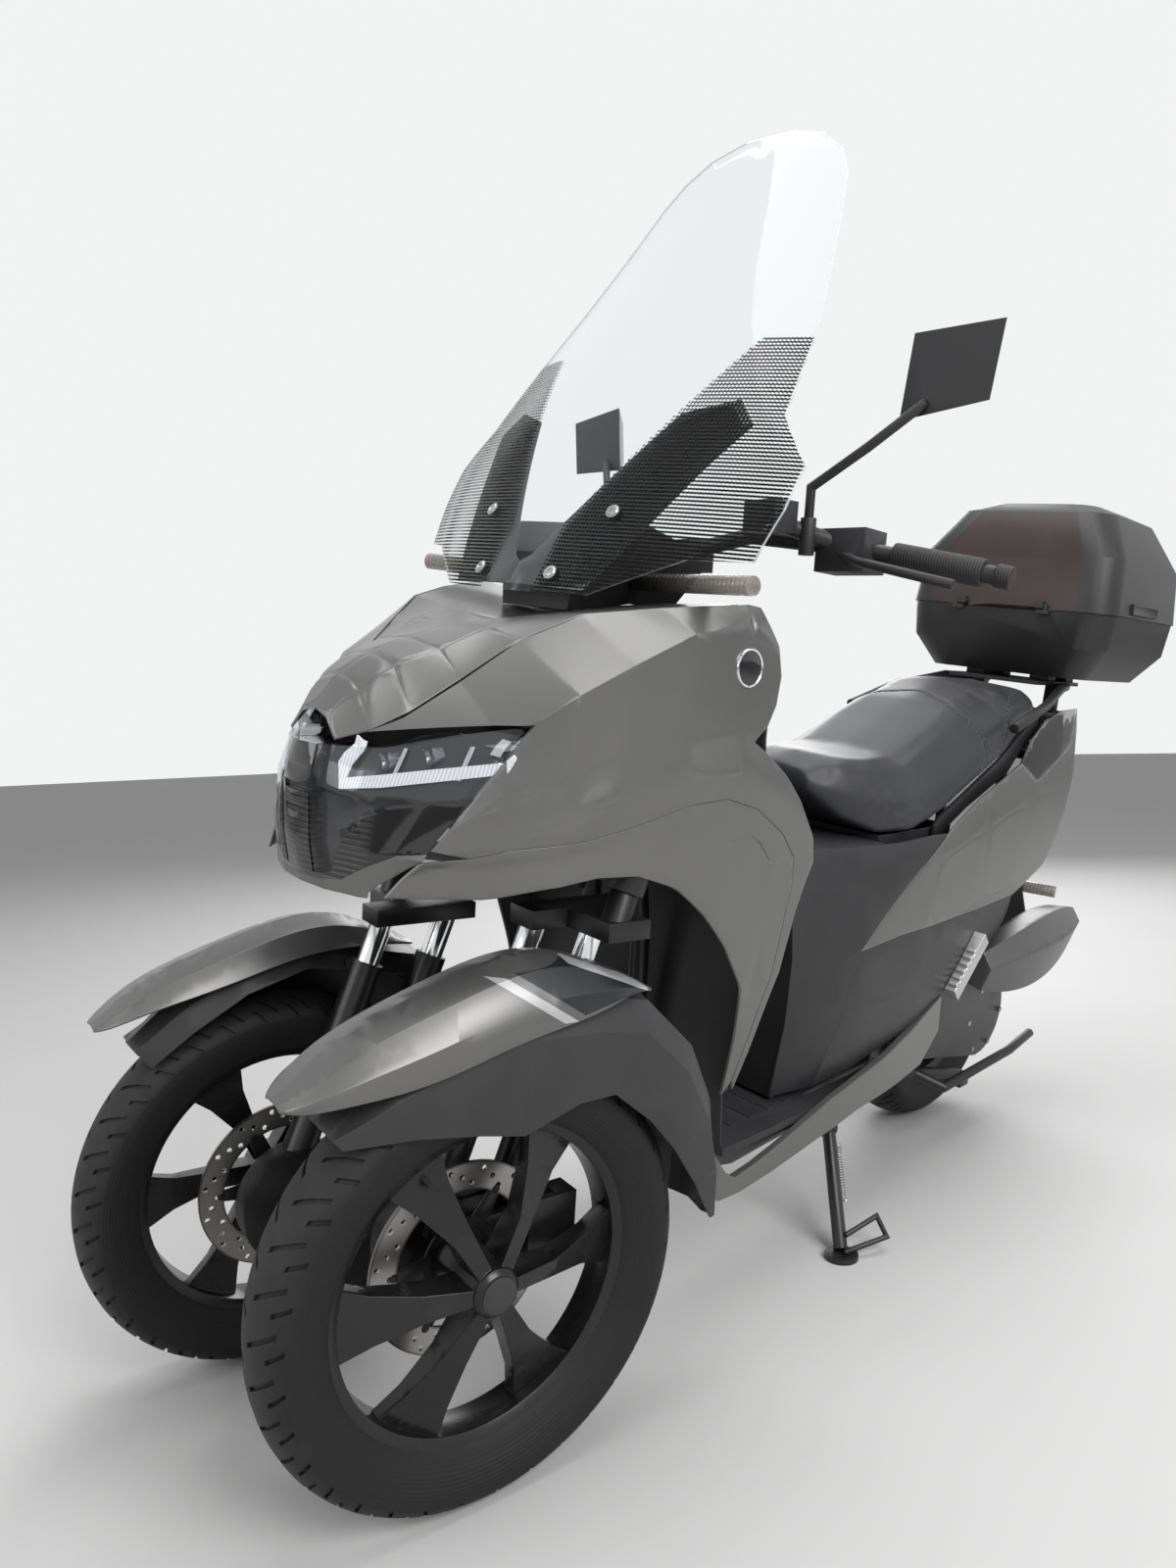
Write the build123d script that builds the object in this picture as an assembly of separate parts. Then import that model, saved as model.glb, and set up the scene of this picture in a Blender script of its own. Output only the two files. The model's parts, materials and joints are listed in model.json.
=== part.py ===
from build123d import *
import math
import os

# Three-wheeled leaning scooter with a tall windscreen and a top box, parked on its side stand.
# Built upright in a body frame: X forward from under the front axle, Y left, Z up from the floor.
# Every piece is then leaned and moved so that the origin is the middle of the footprint.

# Driving dimensions, millimetres and degrees
wheelbase = 1410
track = 420
lean = 10.3
steer_rest = -11
caster = 20
trail = 68

front_tyre_radius = 250
rear_tyre_radius = 256
front_bead_radius = 176
rear_bead_radius = 165
front_tyre_half = 45
rear_tyre_half = 64
front_rim_half = 24
rear_rim_half = 38
bead_rise = 13
bead_flare = 7
hub_radius = 27
hub_reach = 48
axle_radius = 7.5
spoke_count = 6
front_disc_radius = 110
rear_disc_radius = 115
disc_thickness = 4
disc_inset = 34
disc_bore = 14
fork_inset = 86
fork_spacing = 62
fork_tube_radius = 15
fork_leg_radius = 21
panel_wall = 4
seam = 0.3
seat_clearance = 0.3
running_gap = 0.05
bar_fit = 0.1
moving_gap = 6

column_x = -450
column_z = 1085
mirror_setback = 25
bar_radius = 11
grip_radius = 17
box_wall = 4
stand_pivot = (-821, 150, 191)
stand_foot = (-723, 257.7, 46.8)
stand_folded = (-0.96, 0.25, -0.05)
stand_tube_radius = 11
stand_pin_radius = 7
stand_shaft_radius = 12
centre_pivot_x = -1130
centre_pivot_z = 190
muffler_radius = 62
tail_plate_back = -1672
tail_plate_top = 880
mirror_boss = 47
mirror_base = column_z + mirror_boss

# Moves the leaned machine so that its footprint is centred on the origin
shift = (855, -189, 0)

os.makedirs("parts", exist_ok=True)


# Helpers

def inset(points, wall):
    """Offset an open polyline to its left-hand side, with mitred corners."""
    result = []
    for i, (u, v) in enumerate(points):
        before = points[max(i - 1, 0)]
        after = points[min(i + 1, len(points) - 1)]
        first = Vector(u - before[0], v - before[1], 0)
        second = Vector(after[0] - u, after[1] - v, 0)
        if i == 0:
            first = second
        if i == len(points) - 1:
            second = first
        a = first.normalized()
        b = second.normalized()
        n = Vector(-a.Y - b.Y, a.X + b.X, 0)
        n = n / (1 + a.dot(b))
        result.append((u + n.X * wall, v + n.Y * wall))
    return result


def loft_through(wires, smooth=False):
    """A closed solid through a row of closed outlines, straight between them or smooth."""
    return Solid.make_loft(wires, not smooth)


def ring(points):
    """A closed outline through 3D points."""
    return Wire.make_polygon([Vector(*p) for p in points], close=True)


def skin(table, wall):
    """A thin panel through open (y, z) sections listed by x, thick towards the inside."""
    wires = []
    for x, points in table:
        inner = inset(points, wall)
        wires.append(ring([(x, y, z) for y, z in points + inner[::-1]]))
    return loft_through(wires)


def solid_skin(table, smooth=False):
    """A solid through closed (y, z) sections listed by x."""
    return loft_through([ring([(x, y, z) for y, z in points]) for x, points in table], smooth)


def side_cut(points, y0, y1):
    """A prism with a side-view (x, z) outline between two widths."""
    face = Face(ring([(x, y0, z) for x, z in points]))
    return extrude(face, amount=y1 - y0, dir=(0, 1, 0))


def front_cut(points, x0, x1):
    """A prism with a front-view (y, z) outline between two stations."""
    face = Face(ring([(x0, y, z) for y, z in points]))
    return extrude(face, amount=x1 - x0, dir=(1, 0, 0))


def plan_cut(points, z0, z1):
    """A prism with a plan (x, y) outline between two heights."""
    face = Face(ring([(x, y, z0) for x, y in points]))
    return extrude(face, amount=z1 - z0, dir=(0, 0, 1))


def tube(points, radius):
    """A round tube or rod along straight runs with mitred bends."""
    path = Polyline(*points) if len(points) > 2 else Line(*points)
    start = Vector(*points[0])
    along = Vector(*points[1]) - start
    profile = Plane(start, z_dir=along) * Circle(radius)
    return sweep(profile, path=path, transition=Transition.RIGHT)


def rod(a, b, radius):
    """A straight round bar from a to b."""
    start = Vector(*a)
    along = Vector(*b) - start
    return Solid.make_cylinder(radius, along.length, Plane(start, z_dir=along))


def block(x0, x1, y0, y1, z0, z1):
    """An axis-aligned box between two corners."""
    return Pos((x0 + x1) / 2, (y0 + y1) / 2, (z0 + z1) / 2) * Box(x1 - x0, y1 - y0, z1 - z0)


def spun(points):
    """A revolved ring about the Y axis from (radius, y) points."""
    face = Face(ring([(r, y, 0) for r, y in points]))
    return revolve(face, Axis.Y, 360)


def both_sides(shape):
    """A left piece and its mirror image as one node."""
    return Compound(children=[*shape.solids(), *mirror(shape, about=Plane.XZ).solids()])


# Steering and leaning geometry

caster_rad = math.radians(caster)
lean_rad = math.radians(lean)
steering_up = Vector(-math.sin(caster_rad), 0, math.cos(caster_rad))
axle_lead = front_tyre_radius * math.sin(caster_rad) - trail * math.cos(caster_rad)
kingpin_x = -axle_lead * math.cos(caster_rad)
kingpin_z = front_tyre_radius - axle_lead * math.sin(caster_rad)

front_tyre_section = [
    (front_bead_radius, front_rim_half),
    (front_bead_radius + bead_rise, front_rim_half + bead_flare),
    (front_tyre_radius - 26, front_tyre_half),
    (front_tyre_radius - 7, 27),
    (front_tyre_radius, 9),
]
rear_tyre_section = [
    (rear_bead_radius, rear_rim_half),
    (rear_bead_radius + bead_rise, rear_rim_half + bead_flare),
    (rear_tyre_radius - 34, rear_tyre_half),
    (rear_tyre_radius - 8, 40),
    (rear_tyre_radius, 13),
]


def rest_height(section, axis_z):
    """Height of a wheel's centre over the floor when its axis has that vertical part."""
    flat = math.sqrt(1 - axis_z * axis_z)
    return max(r * flat + abs(y * axis_z) for r, y in section)


def leaned(point):
    """A body-frame point after the lean, before the shift."""
    y = point.Y * math.cos(lean_rad) + point.Z * math.sin(lean_rad)
    z = -point.Y * math.sin(lean_rad) + point.Z * math.cos(lean_rad)
    return Vector(point.X, y, z)


def kingpin(side):
    """The steering axis of one front wheel, before its lift."""
    return Axis((kingpin_x, side * track / 2, kingpin_z), tuple(steering_up))


def front_lift(side):
    """How far one front fork slides up or down as the machine leans."""
    spin = Axis((0, 0, 0), tuple(steering_up))
    hub = Vertex(0, side * track / 2, front_tyre_radius).rotate(kingpin(side), steer_rest).center()
    axle = Vertex(0, 1, 0).rotate(spin, steer_rest).center()
    axis_z = leaned(axle).Z
    height = rest_height(front_tyre_section, axis_z)
    wanted = (height + hub.Y * math.sin(lean_rad)) / math.cos(lean_rad)
    return wanted - hub.Z


rear_hub_z = rest_height(rear_tyre_section, math.sin(lean_rad)) / math.cos(lean_rad)

# The side stand's pin makes the same angle with the leg as parked and as folded
stand_down = (Vector(*stand_foot) - Vector(*stand_pivot)).normalized()
stand_turn = stand_down - Vector(*stand_folded).normalized()
stand_axis = (Vector(0, 1, 0) - stand_turn * (stand_turn.Y / stand_turn.dot(stand_turn))).normalized()


def park(shape):
    """Lean an upright piece onto the side stand and centre it."""
    return Pos(*shift) * Rot(-lean, 0, 0) * shape


def on_fork(shape, side):
    """Turn a straight-ahead front piece to its parked steering angle and lift it."""
    return Pos(0, 0, front_lift(side)) * shape.rotate(kingpin(side), steer_rest)


def on_column(shape):
    """Turn a straight-ahead handlebar piece to its parked steering angle."""
    return shape.rotate(Axis((column_x, 0, column_z), tuple(steering_up)), steer_rest)


# Front bodywork. Side sections from the sill up to the bonnet seam, each (y, z):
# sill, mid leg, crease, flare, chamfer top, shoulder, seam
side_sections = [
    (95, [(100, 380), (108, 560), (113, 706), (117, 735), (118, 744), (76, 838), (64, 858)]),
    (60, [(120, 380), (135, 560), (140, 727), (150, 742), (150, 764), (108, 852), (85, 877)]),
    (0, [(150, 380), (170, 560), (188, 740), (192, 768), (189, 808), (176, 868), (100, 918)]),
    (-60, [(175, 380), (205, 560), (216, 750), (225, 791), (216, 832), (216, 918), (119, 965)]),
    (-120, [(187, 380), (222, 560), (232, 762), (243, 814), (233, 850), (232, 952), (154, 999)]),
    (-200, [(200, 380), (232, 560), (244, 780), (256, 834), (246, 873), (245, 990), (198, 1014)]),
    (-300, [(205, 380), (240, 560), (252, 784), (264, 834), (253, 890), (251, 1004), (236, 1028)]),
    (-400, [(206, 380), (242, 560), (250, 738), (262, 790), (256, 852), (250, 960), (240, 1020)]),
    (-520, [(206, 380), (240, 560), (246, 660), (250, 722), (248, 800), (244, 900), (236, 980)]),
]
lamp_rear_edge = [(-25, 885), (60, 751)]
shadow_line = [
    (28, 745), (-5, 756), (-86, 767), (-160, 785), (-215, 801), (-280, 806), (-341, 790),
    (-405, 754), (-445, 718), (-452, 685), (-446, 600), (-437, 500), (-430, 400),
]
cowl_back_edge = [
    (-438, 385), (-448, 444), (-454, 512), (-462, 572), (-474, 645), (-492, 707), (-478, 741),
    (-430, 795), (-385, 832), (-345, 857), (-318, 871), (-342, 888), (-356, 914), (-361, 949),
    (-350, 985), (-300, 1060),
]
arch_edge = [
    (-415, 382), (-400, 478), (-380, 548), (-328, 615), (-275, 665), (-222, 702), (-160, 722),
    (-107, 724), (-45, 713), (12, 701), (90, 697),
]
bonnet_sections = [
    (112, [(44, 850), (25, 872), (0, 880)]),
    (85, [(66, 862), (41, 905), (0, 915)]),
    (50, [(82, 883), (48, 930), (0, 938)]),
    (0, [(95, 918), (58, 948), (0, 956)]),
    (-60, [(114, 965), (65, 975), (0, 972)]),
    (-120, [(149, 999), (80, 992), (0, 980)]),
    (-200, [(193, 1014), (100, 1006), (0, 994)]),
    (-290, [(228, 1027), (120, 1020), (0, 1008)]),
]
# Face of the nose in plan: height, then (x, y) from the middle to the lamp's outer corner
face_plans = [
    (690, [(116, 0), (112, 40), (96, 82), (70, 112), (40, 140)]),
    (740, [(128, 0), (122, 38), (102, 84), (84, 118), (62, 149)]),
    (800, [(133, 0), (127, 34), (102, 82), (60, 135), (4, 187)]),
    (860, [(124, 0), (116, 35), (86, 74), (40, 135), (-14, 192)]),
    (892, [(108, 0), (100, 30), (70, 66), (24, 125), (-26, 178)]),
]
face_depth = 70
# Lower edge of each lamp seen from the front, and the upper edge over it, each (y, z)
brow_line = [
    (27, 706), (50, 712), (62, 744), (82, 776), (108, 792), (150, 802), (182, 812), (192, 826),
]
lamp_top = [(205, 888), (140, 868), (84, 846), (27, 842)]
grille_half = 24
grille_low = 700
grille_top = 842
band_line = [(196, 800), (152, 749), (120, 742), (95, 728), (60, 705), (grille_half, grille_low)]
rib_count = 5
rib_depth = 3


def side_skin():
    return skin(side_sections, panel_wall)


def core(table):
    """The room inside a pair of side skins, a seat's clearance off their inner faces."""
    closed = []
    for x, points in table:
        inner = inset(points, panel_wall + seat_clearance)
        closed.append((x, inner + [(-y, z) for y, z in inner[::-1]]))
    return solid_skin(closed)


def hull(table, clearance):
    """The whole body inside a pair of side skins, out to a clearance over them."""
    closed = []
    for x, points in table:
        outer = inset(points, -clearance)
        closed.append((x, outer + [(-y, z) for y, z in outer[::-1]]))
    return solid_skin(closed)


def side_cowls():
    """Upper side panels with their chamfer, running down into the rims of the leg shield."""
    lamp = [(110, 856), *lamp_rear_edge]
    outline = [*lamp, *shadow_line, *cowl_back_edge, (110, 1060)]
    return both_sides(side_skin() & side_cut(outline, 0, 400))


def lower_fairings():
    """Boomerang panels between the shadow line and the wheel arch."""
    outline = [(66, 738), *inset(shadow_line, seam), *arch_edge]
    return both_sides(side_skin() & side_cut(outline, 0, 400))


def nose_panel():
    table = []
    for x, half in bonnet_sections:
        other = [(-y, z) for y, z in half[-2::-1]]
        table.append((x, half + other))
    return skin(table, panel_wall)


def nose_block():
    """The solid behind the nose's face, which the lamps, mask and chin are cut from."""
    wires = []
    for z, half in face_plans:
        back = half[-1][0] - face_depth * 0.2
        outline = half + [(back, half[-1][1]), (half[0][0] - face_depth, half[2][1])]
        outline += [(x, -y) for x, y in outline[:0:-1]]
        wires.append(ring([(x, y, z) for x, y in outline]))
    whole = loft_through(wires)
    (top_x, top_z), (low_x, low_z) = lamp_rear_edge
    fit = 2 * seam
    back = (low_x - top_x) / (top_z - low_z)
    keep = [(112, 851), (top_x + 4 * back + fit, top_z - 4), (low_x + fit, low_z), (66 + fit, 738),
            (90 + fit, 697), (90 + fit, 680), (200, 680), (200, 851)]
    return whole & side_cut(keep, -300, 300)


def headlights():
    lens = nose_block() & front_cut(brow_line + lamp_top, -100, 200)
    return both_sides(lens)


def nose_mask():
    """Gloss black centre grille with its ribs, joined to the band under both lamps."""
    body = nose_block()
    band_outline = inset(brow_line, -seam) + band_line
    band = body & front_cut([(20, 706), *band_outline], -100, 200)
    middle = body & block(0, 200, -grille_half, grille_half, grille_low, grille_top)
    shape = band + middle + mirror(band, about=Plane.XZ)
    pitch = (grille_top - grille_low) / (rib_count + 1)
    for i in range(rib_count):
        z = grille_low + pitch * (i + 1)
        shape -= block(face_plans[2][1][0][0] - 2 * rib_depth, 200, -18, 18, z - 4, z + 4)
    return shape


def chin_panel():
    body = nose_block()
    half = [(0, 680), (150, 680), *[(y, z - seam) for y, z in band_line[1:]]]
    outline = half + [(-y, z) for y, z in half[:0:-1]]
    return body & front_cut(outline, -100, 200)


# Windscreen sections: height, middle x, edge x, edge y
screen_sections = [
    (1005, -124, -244, 300),
    (1180, -225, -296, 300),
    (1400, -371, -458, 300),
    (1665, -543, -596, 300),
]
screen_wall = 4
plate_wall = 6
screen_outline = [
    (0, 1017), (120, 1019), (180, 1050), (215, 1068), (278, 1071), (290, 1130), (292, 1180),
    (246, 1238), (225, 1350), (190, 1460), (152, 1575), (128, 1612), (92, 1640), (40, 1655),
]
screen_panel_outline = [
    (125, 1026), (136, 1110), (92, 1200), (60, 1268), (34, 1300), (-34, 1300), (-60, 1268),
    (-92, 1200), (-136, 1110), (-125, 1026),
]


def screen_sheet(offset, wall):
    wires = []
    for z, middle, edge, half in screen_sections:
        front = ThreePointArc((edge + offset, -half, z), (middle + offset, 0, z),
                              (edge + offset, half, z))
        back = ThreePointArc((edge + offset - wall, half, z), (middle + offset - wall, 0, z),
                             (edge + offset - wall, -half, z))
        left = Line((edge + offset, half, z), (edge + offset - wall, half, z))
        right = Line((edge + offset - wall, -half, z), (edge + offset, -half, z))
        wires.append(Wire([front, left, back, right]))
    return loft_through(wires, smooth=True)


def windscreen():
    outline = screen_outline + [(-y, z) for y, z in screen_outline[:0:-1]]
    return screen_sheet(0, screen_wall) & front_cut(outline, -700, 0)


def screen_panel():
    """Dark backing plate behind the middle of the screen, on two stays from the dash."""
    sheet = screen_sheet(-screen_wall - seat_clearance, plate_wall)
    shape = sheet & front_cut(screen_panel_outline, -700, 0)
    ahead = screen_sheet(30, 30 + screen_wall + seat_clearance)
    for side in (1, -1):
        stay = block(dash_front + seat_clearance, -130, side * 40 - 10, side * 40 + 10, 1028, 1044)
        shape += stay - ahead
    return shape


# Display housing just over the bonnet: x, lower half width, lower z, upper half width, top z
dash_rows = [
    (-185, 58, 1000.6, 66, 1066),
    (-245, 60, 1008.4, 118, 1108),
    (-290, 62, 1015, 119, 1098),
    (-370, 64, 1015, 120, 1080),
]
dash_front = dash_rows[0][0]


def instrument_panel():
    """Display housing standing on the bonnet behind the screen."""
    table = []
    for x, low_half, low, top_half, top in dash_rows:
        table.append((x, [(-low_half, low), (low_half, low), (top_half, top), (-top_half, top)]))
    return solid_skin(table)


# Rider-side panel behind the leg shields, (x, z) from the floor up
shield_line = [
    (-450, 290.3), (-434, 385), (-445, 480), (-466, 630), (-476, 672), (-436, 780), (-350, 850),
    (-348, 930), (-337, 975),
]
# Glove box bulging back from it: x, lower half width, lower z, upper half width
glove_rows = [(-343, 185, 745, 175), (-440, 150, 765, 140), (-468, 112, 800, 108)]
glove_top = 1006


def glove_box(wall):
    """The glove box drawn in by a wall, open at the top where the steering column comes out."""
    table = []
    for x, low_half, low, top_half in glove_rows:
        y0 = low_half - wall
        y1 = top_half - wall
        table.append((x + wall, [(-y0, low + wall), (y0, low + wall), (y1, glove_top + wall / 4),
                                 (-y1, glove_top + wall / 4)]))
    return solid_skin(table)


def inner_shield():
    """Panel between the leg shields, open round the steering head."""
    sheet = side_cut(shield_line + inset(shield_line, -panel_wall)[::-1], -300, 300)
    low = block(-600, -300, -194, 194, shield_line[0][1], 381)
    shape = (sheet & core(side_sections)) + (sheet & low) + glove_box(0) - glove_box(panel_wall)
    return shape - block(-405, -330, -62, 62, 735, 790)


def floor_edge(clearance):
    """Inner line of the sill trims in plan, less a clearance."""
    return [(x, y - trim_wall - clearance) for x, y in sill_plan]


# Outer line of the sill trims in plan, (x, y), and their side outline, (x, z)
sill_plan = [(-400, 208), (-440, 210), (-560, 213), (-720, 212), (-900, 203), (-1110, 186)]
trim_wall = 12
trim_upper = [
    (-416, 296), (-447, 259), (-470, 246), (-512, 252), (-582, 268), (-709, 300), (-870, 321),
    (-978, 345), (-1093, 382),
]
trim_lower = [
    (-1105, 311), (-1041, 263), (-941, 255), (-799, 252), (-678, 241), (-552, 226), (-483, 219),
    (-436, 221), (-408, 244),
]
floor_top = 290
floor_wall = 12
floor_front = -448
floor_back = -700
strip_back = -1010
tread_rib_count = 4


def floorboard():
    """Flat foot board with anti-slip ribs, and a side strip along the seat base."""
    edge = floor_edge(seat_clearance)
    low = floor_top - floor_wall
    plate = plan_cut(edge + [(x, -y) for x, y in edge[::-1]], low, floor_top)
    flat = plate & block(floor_back, floor_front, -220, 220, 0, 400)
    shape = flat
    for side in (1, -1):
        shape += plate & block(strip_back, floor_back + 10, side * 200 - 32, side * 200 + 32, 0, 400)
        for i in range(tread_rib_count):
            x = floor_back + 40 + 45 * i
            shape += block(x, x + 14, side * 105 - 60, side * 105 + 60, floor_top - 2, floor_top + 2)
    return shape


def floor_trims():
    """Bright sill strips along the outer edges of the foot board."""
    plan = sill_plan + floor_edge(0)[::-1]
    strip = side_cut(trim_upper + trim_lower, 150, 230) & plan_cut(plan, 200, 400)
    return both_sides(strip)


tray_low = 205


def under_cowl():
    """Open tray under the foot board."""
    table = [
        (-430, [(150, 264), (110, 215), (-110, 215), (-150, 264)]),
        (-560, [(190, 264), (140, tray_low), (-140, tray_low), (-190, 264)]),
        (-780, [(190, 264), (130, tray_low), (-130, tray_low), (-190, 264)]),
    ]
    return skin(table, -panel_wall)


# Seat-base and tail bodywork, (y, z): sill, hip, crease, flank, top edge
rear_sections = [
    (-625, [(150, 296), (158, 420), (155, 520), (140, 620), (112, 700)]),
    (-800, [(183, 296), (186, 420), (178, 520), (166, 620), (148, 690)]),
    (-1000, [(186, 310), (190, 420), (186, 522), (182, 640), (166, 712)]),
    (-1200, [(180, 370), (184, 450), (182, 530), (178, 680), (160, 775)]),
    (-1400, [(160, 430), (168, 490), (168, 545), (165, 720), (146, 850)]),
    (-1580, [(135, 500), (146, 545), (149, 580), (149, 745), (134, 895)]),
    (-1700, [(112, 560), (125, 600), (132, 640), (132, 760), (118, 905)]),
]
arrow_top = [(-791, 511), (-845, 553), (-945, 625), (-1065, 691), (-1173, 736), (-1355, 791)]
arrow_notch = [(-1355, 791), (-1440, 752), (-1560, 790), (-1641, 818), (-1688, 893)]
arrow_rear = [(-1698, 850), (-1698, 740), (-1680, 670), (-1640, 612), (-1563, 562)]
arrow_low = [(-1376, 527), (-1129, 526), (-915, 521), (-791, 511)]
base_front = [(-791, 511), (-719, 299)]
seat_line = [(-632, 677), (-700, 677), (-791, 676), (-898, 676), (-1000, 682), (-1040, 682)]


def rear_skin():
    return skin(rear_sections, panel_wall)


def rear_cowls():
    """Bright arrow-shaped tail panels."""
    outline = arrow_top + arrow_notch[1:] + arrow_rear + arrow_low[:-1]
    return both_sides(rear_skin() & side_cut(outline, 0, 300))


def tail_panels():
    """Dark gloss panels between the arrow's notch and the seat."""
    outline = inset(arrow_notch, -seam) + [(-1520, 889), (-1468, 868), (-1400, 835)]
    return both_sides(rear_skin() & side_cut(outline, 0, 300))


deck_top = 676


def centre_cover():
    """Dark sides and front of the seat base, with a deck ahead of the seat."""
    edge = inset(arrow_top[:3], -seam)[::-1] + inset(base_front, seam)
    side = rear_skin() & side_cut(seat_line + edge + [(-625, 299)], 0, 300)
    front = block(-633, -628, -170, 170, floor_top + seat_clearance, deck_top)
    front += block(bucket_front + 8, -628, -170, 170, deck_top - 5, deck_top)
    front &= hull(rear_sections, 0)
    shape = side + mirror(side, about=Plane.XZ) + front + seat_pin(seat_pin_radius)
    for side_sign in (1, -1):
        y0, y1 = sorted((side_sign * (seat_pin_half - 10), side_sign * (seat_pin_half - 2)))
        shape += block(seat_hinge_x - 8, seat_hinge_x + 3, y0, y1, deck_top - 3, seat_hinge_z)
        shape += rod((seat_hinge_x, y0, seat_hinge_z), (seat_hinge_x, y1, seat_hinge_z), 8)
    return shape


def lower_covers():
    """Panels under the arrow, down to the sill trims."""
    edge = inset([base_front[1]] + arrow_low[::-1], seam)
    edge += [(-1371, 505), (-1336, 461), (-1246, 428), (-1115, 392), (-985, 351), (-920, 334),
             (-860, 326), (-760, 308)]
    return both_sides(rear_skin() & side_cut(edge, 0, 300))


def tail_lamp():
    """Tail lamp between the cowls, against the frame's end plate."""
    table = [
        (tail_plate_back, [(-140, 770), (140, 770), (140, 884), (-140, 884)]),
        (-1698, [(-140, 780), (140, 780), (140, 876), (-140, 876)]),
    ]
    lens = [
        (-1697, [(-104, 784), (104, 784), (96, 872), (-96, 872)]),
        (-1722, [(-96, 796), (96, 796), (86, 862), (-86, 862)]),
    ]
    return (solid_skin(table) & core(rear_sections)) + solid_skin(lens)


bucket_half = 135.7
bucket_front = -873
bucket_back = -1130
bucket_low = 480
seat_low = 684


def seat_bucket():
    """Open box for a helmet under the seat."""
    w = panel_wall
    top = seat_low - seat_clearance
    outer = block(bucket_back, bucket_front, -bucket_half, bucket_half, bucket_low, top)
    return outer - block(bucket_back + w, bucket_front - w, w - bucket_half, bucket_half - w,
                         bucket_low + w, top + 1)


seat_hinge_x = -785
seat_hinge_z = 708
seat_pin_radius = 4
seat_pin_half = 40
# Seat rows from the nose back: x, half width at the base, base z, crown half width, crown z
seat_rows = [
    (-752, 62, 748, 44, 792),
    (-805, 108, 706, 88, 805),
    (-864, 146, seat_low, 118, 803),
    (-950, 164, seat_low, 132, 806),
    (-1060, 162, 712, 128, 852),
    (-1150, 156, 744, 116, 892),
    (-1300, 150, 802, 116, 934),
    (-1430, 136, 868, 104, 938),
    (-1490, 108, 898, 90, 922),
]


def seat_cushion():
    table = []
    for x, wide, low, crown, top in seat_rows:
        half = [(wide - 8, low), (wide, low + 0.45 * (top - low)), (crown, top - 6), (0, top)]
        table.append((x, [(-y, z) for y, z in half[:-1]] + half[::-1]))
    shape = solid_skin(table)
    for side in (1, -1):
        y0, y1 = sorted((side * (seat_pin_half - 20), side * (seat_pin_half - 12)))
        lug = block(seat_hinge_x - 8, seat_hinge_x + 8, y0, y1, seat_hinge_z, seat_hinge_z + 28)
        lug += rod((seat_hinge_x, y0, seat_hinge_z), (seat_hinge_x, y1, seat_hinge_z), 8)
        shape += lug
    return shape - seat_pin(seat_pin_radius + running_gap)


def seat_pin(radius):
    """The pin that the seat's nose turns on."""
    return rod((seat_hinge_x, -seat_pin_half, seat_hinge_z), (seat_hinge_x, seat_pin_half, seat_hinge_z),
               radius)


rack_top = tail_plate_top + 66
rack_wall = 8
rack_hole_radius = 3.25
rack_hole_x = -1560
rack_hole_circle = 90


def rack():
    """Luggage plate on two posts, with a grab rail along each side of the seat."""
    low = rack_top - rack_wall
    plate = block(-1740, -1508, -95, 95, low, rack_top)
    for i in range(4):
        angle = math.radians(45 + 90 * i)
        x = rack_hole_x + rack_hole_circle / 2 * math.cos(angle)
        y = rack_hole_circle / 2 * math.sin(angle)
        plate -= Pos(x, y, low) * Cylinder(rack_hole_radius, 4 * rack_wall)
    for side in (1, -1):
        plate += tube([(-1250, side * 172, 862), (-1400, side * 166, 905),
                       (-1560, side * 128, low - 3), (-1690, side * 88, low - 3)], 9)
        plate += block(-1652, -1628, side * 80 - 12, side * 80 + 12,
                       tail_plate_top + seat_clearance, low + 1)
    return plate


fender_profile = [
    (-1300, 560), (-1420, 584), (-1540, 570), (-1640, 505), (-1700, 420), (-1728, 340),
]
fender_half = 84
plate_hole_radius = 3.5
plate_hole_spacing = 120


def rear_fender():
    """Mud flap over the rear wheel, hung from the frame, with the number plate's two holes."""
    back = inset(fender_profile, 5)
    shape = side_cut(fender_profile + back[::-1], -fender_half, fender_half)
    for side in (1, -1):
        shape += block(-1506, -1494, side * 60 - 8, side * 60 + 8, 574,
                       cross_z - cross_radius - seat_clearance)
    (x0, z0), (x1, z1) = fender_profile[4], fender_profile[5]
    middle = Vector((x0 + x1) / 2, 0, (z0 + z1) / 2)
    normal = Vector(z0 - z1, 0, x1 - x0)
    for side in (1, -1):
        at = middle + Vector(0, side * plate_hole_spacing / 2, 0)
        hole = Plane(at, z_dir=normal)
        shape -= hole * Cylinder(plate_hole_radius, 40)
    return shape


# Power unit and running gear under the tail

engine_half = 84
arm_inner = -92
arm_outer = -122
case_inner = 90
lug_inner = 66


def engine_block():
    """The engine as one plain mass, with the wheel's axle, its right arm and the stand's lugs."""
    body = block(-1080, -760, -engine_half, engine_half, 300, 462)
    head = block(-762, -660, -70, 70, 320, 440)
    arm = block(-1480, -1070, arm_outer, arm_inner, 225, 330)
    bridge = block(-1082, -1070, arm_outer, -60, 300, 330)
    shape = body + head + arm + bridge
    shape += rod((-wheelbase, arm_inner - 2, rear_hub_z), (-wheelbase, case_inner - seat_clearance,
                                                           rear_hub_z), axle_radius)
    lug = [(-1150, 172), (-1112, 172), (-1040, 310), (-1080, 330)]
    for side in (1, -1):
        y0, y1 = sorted((side * lug_inner, side * (engine_half - 0.3)))
        shape += side_cut(lug, y0, y1)
    bore = rod((centre_pivot_x, -100, centre_pivot_z), (centre_pivot_x, 100, centre_pivot_z),
               stand_shaft_radius + running_gap)
    return shape - bore


case_bar = [(-1032, 449), (-1414, 343), (-1384, 182), (-1008, 261)]


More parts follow.
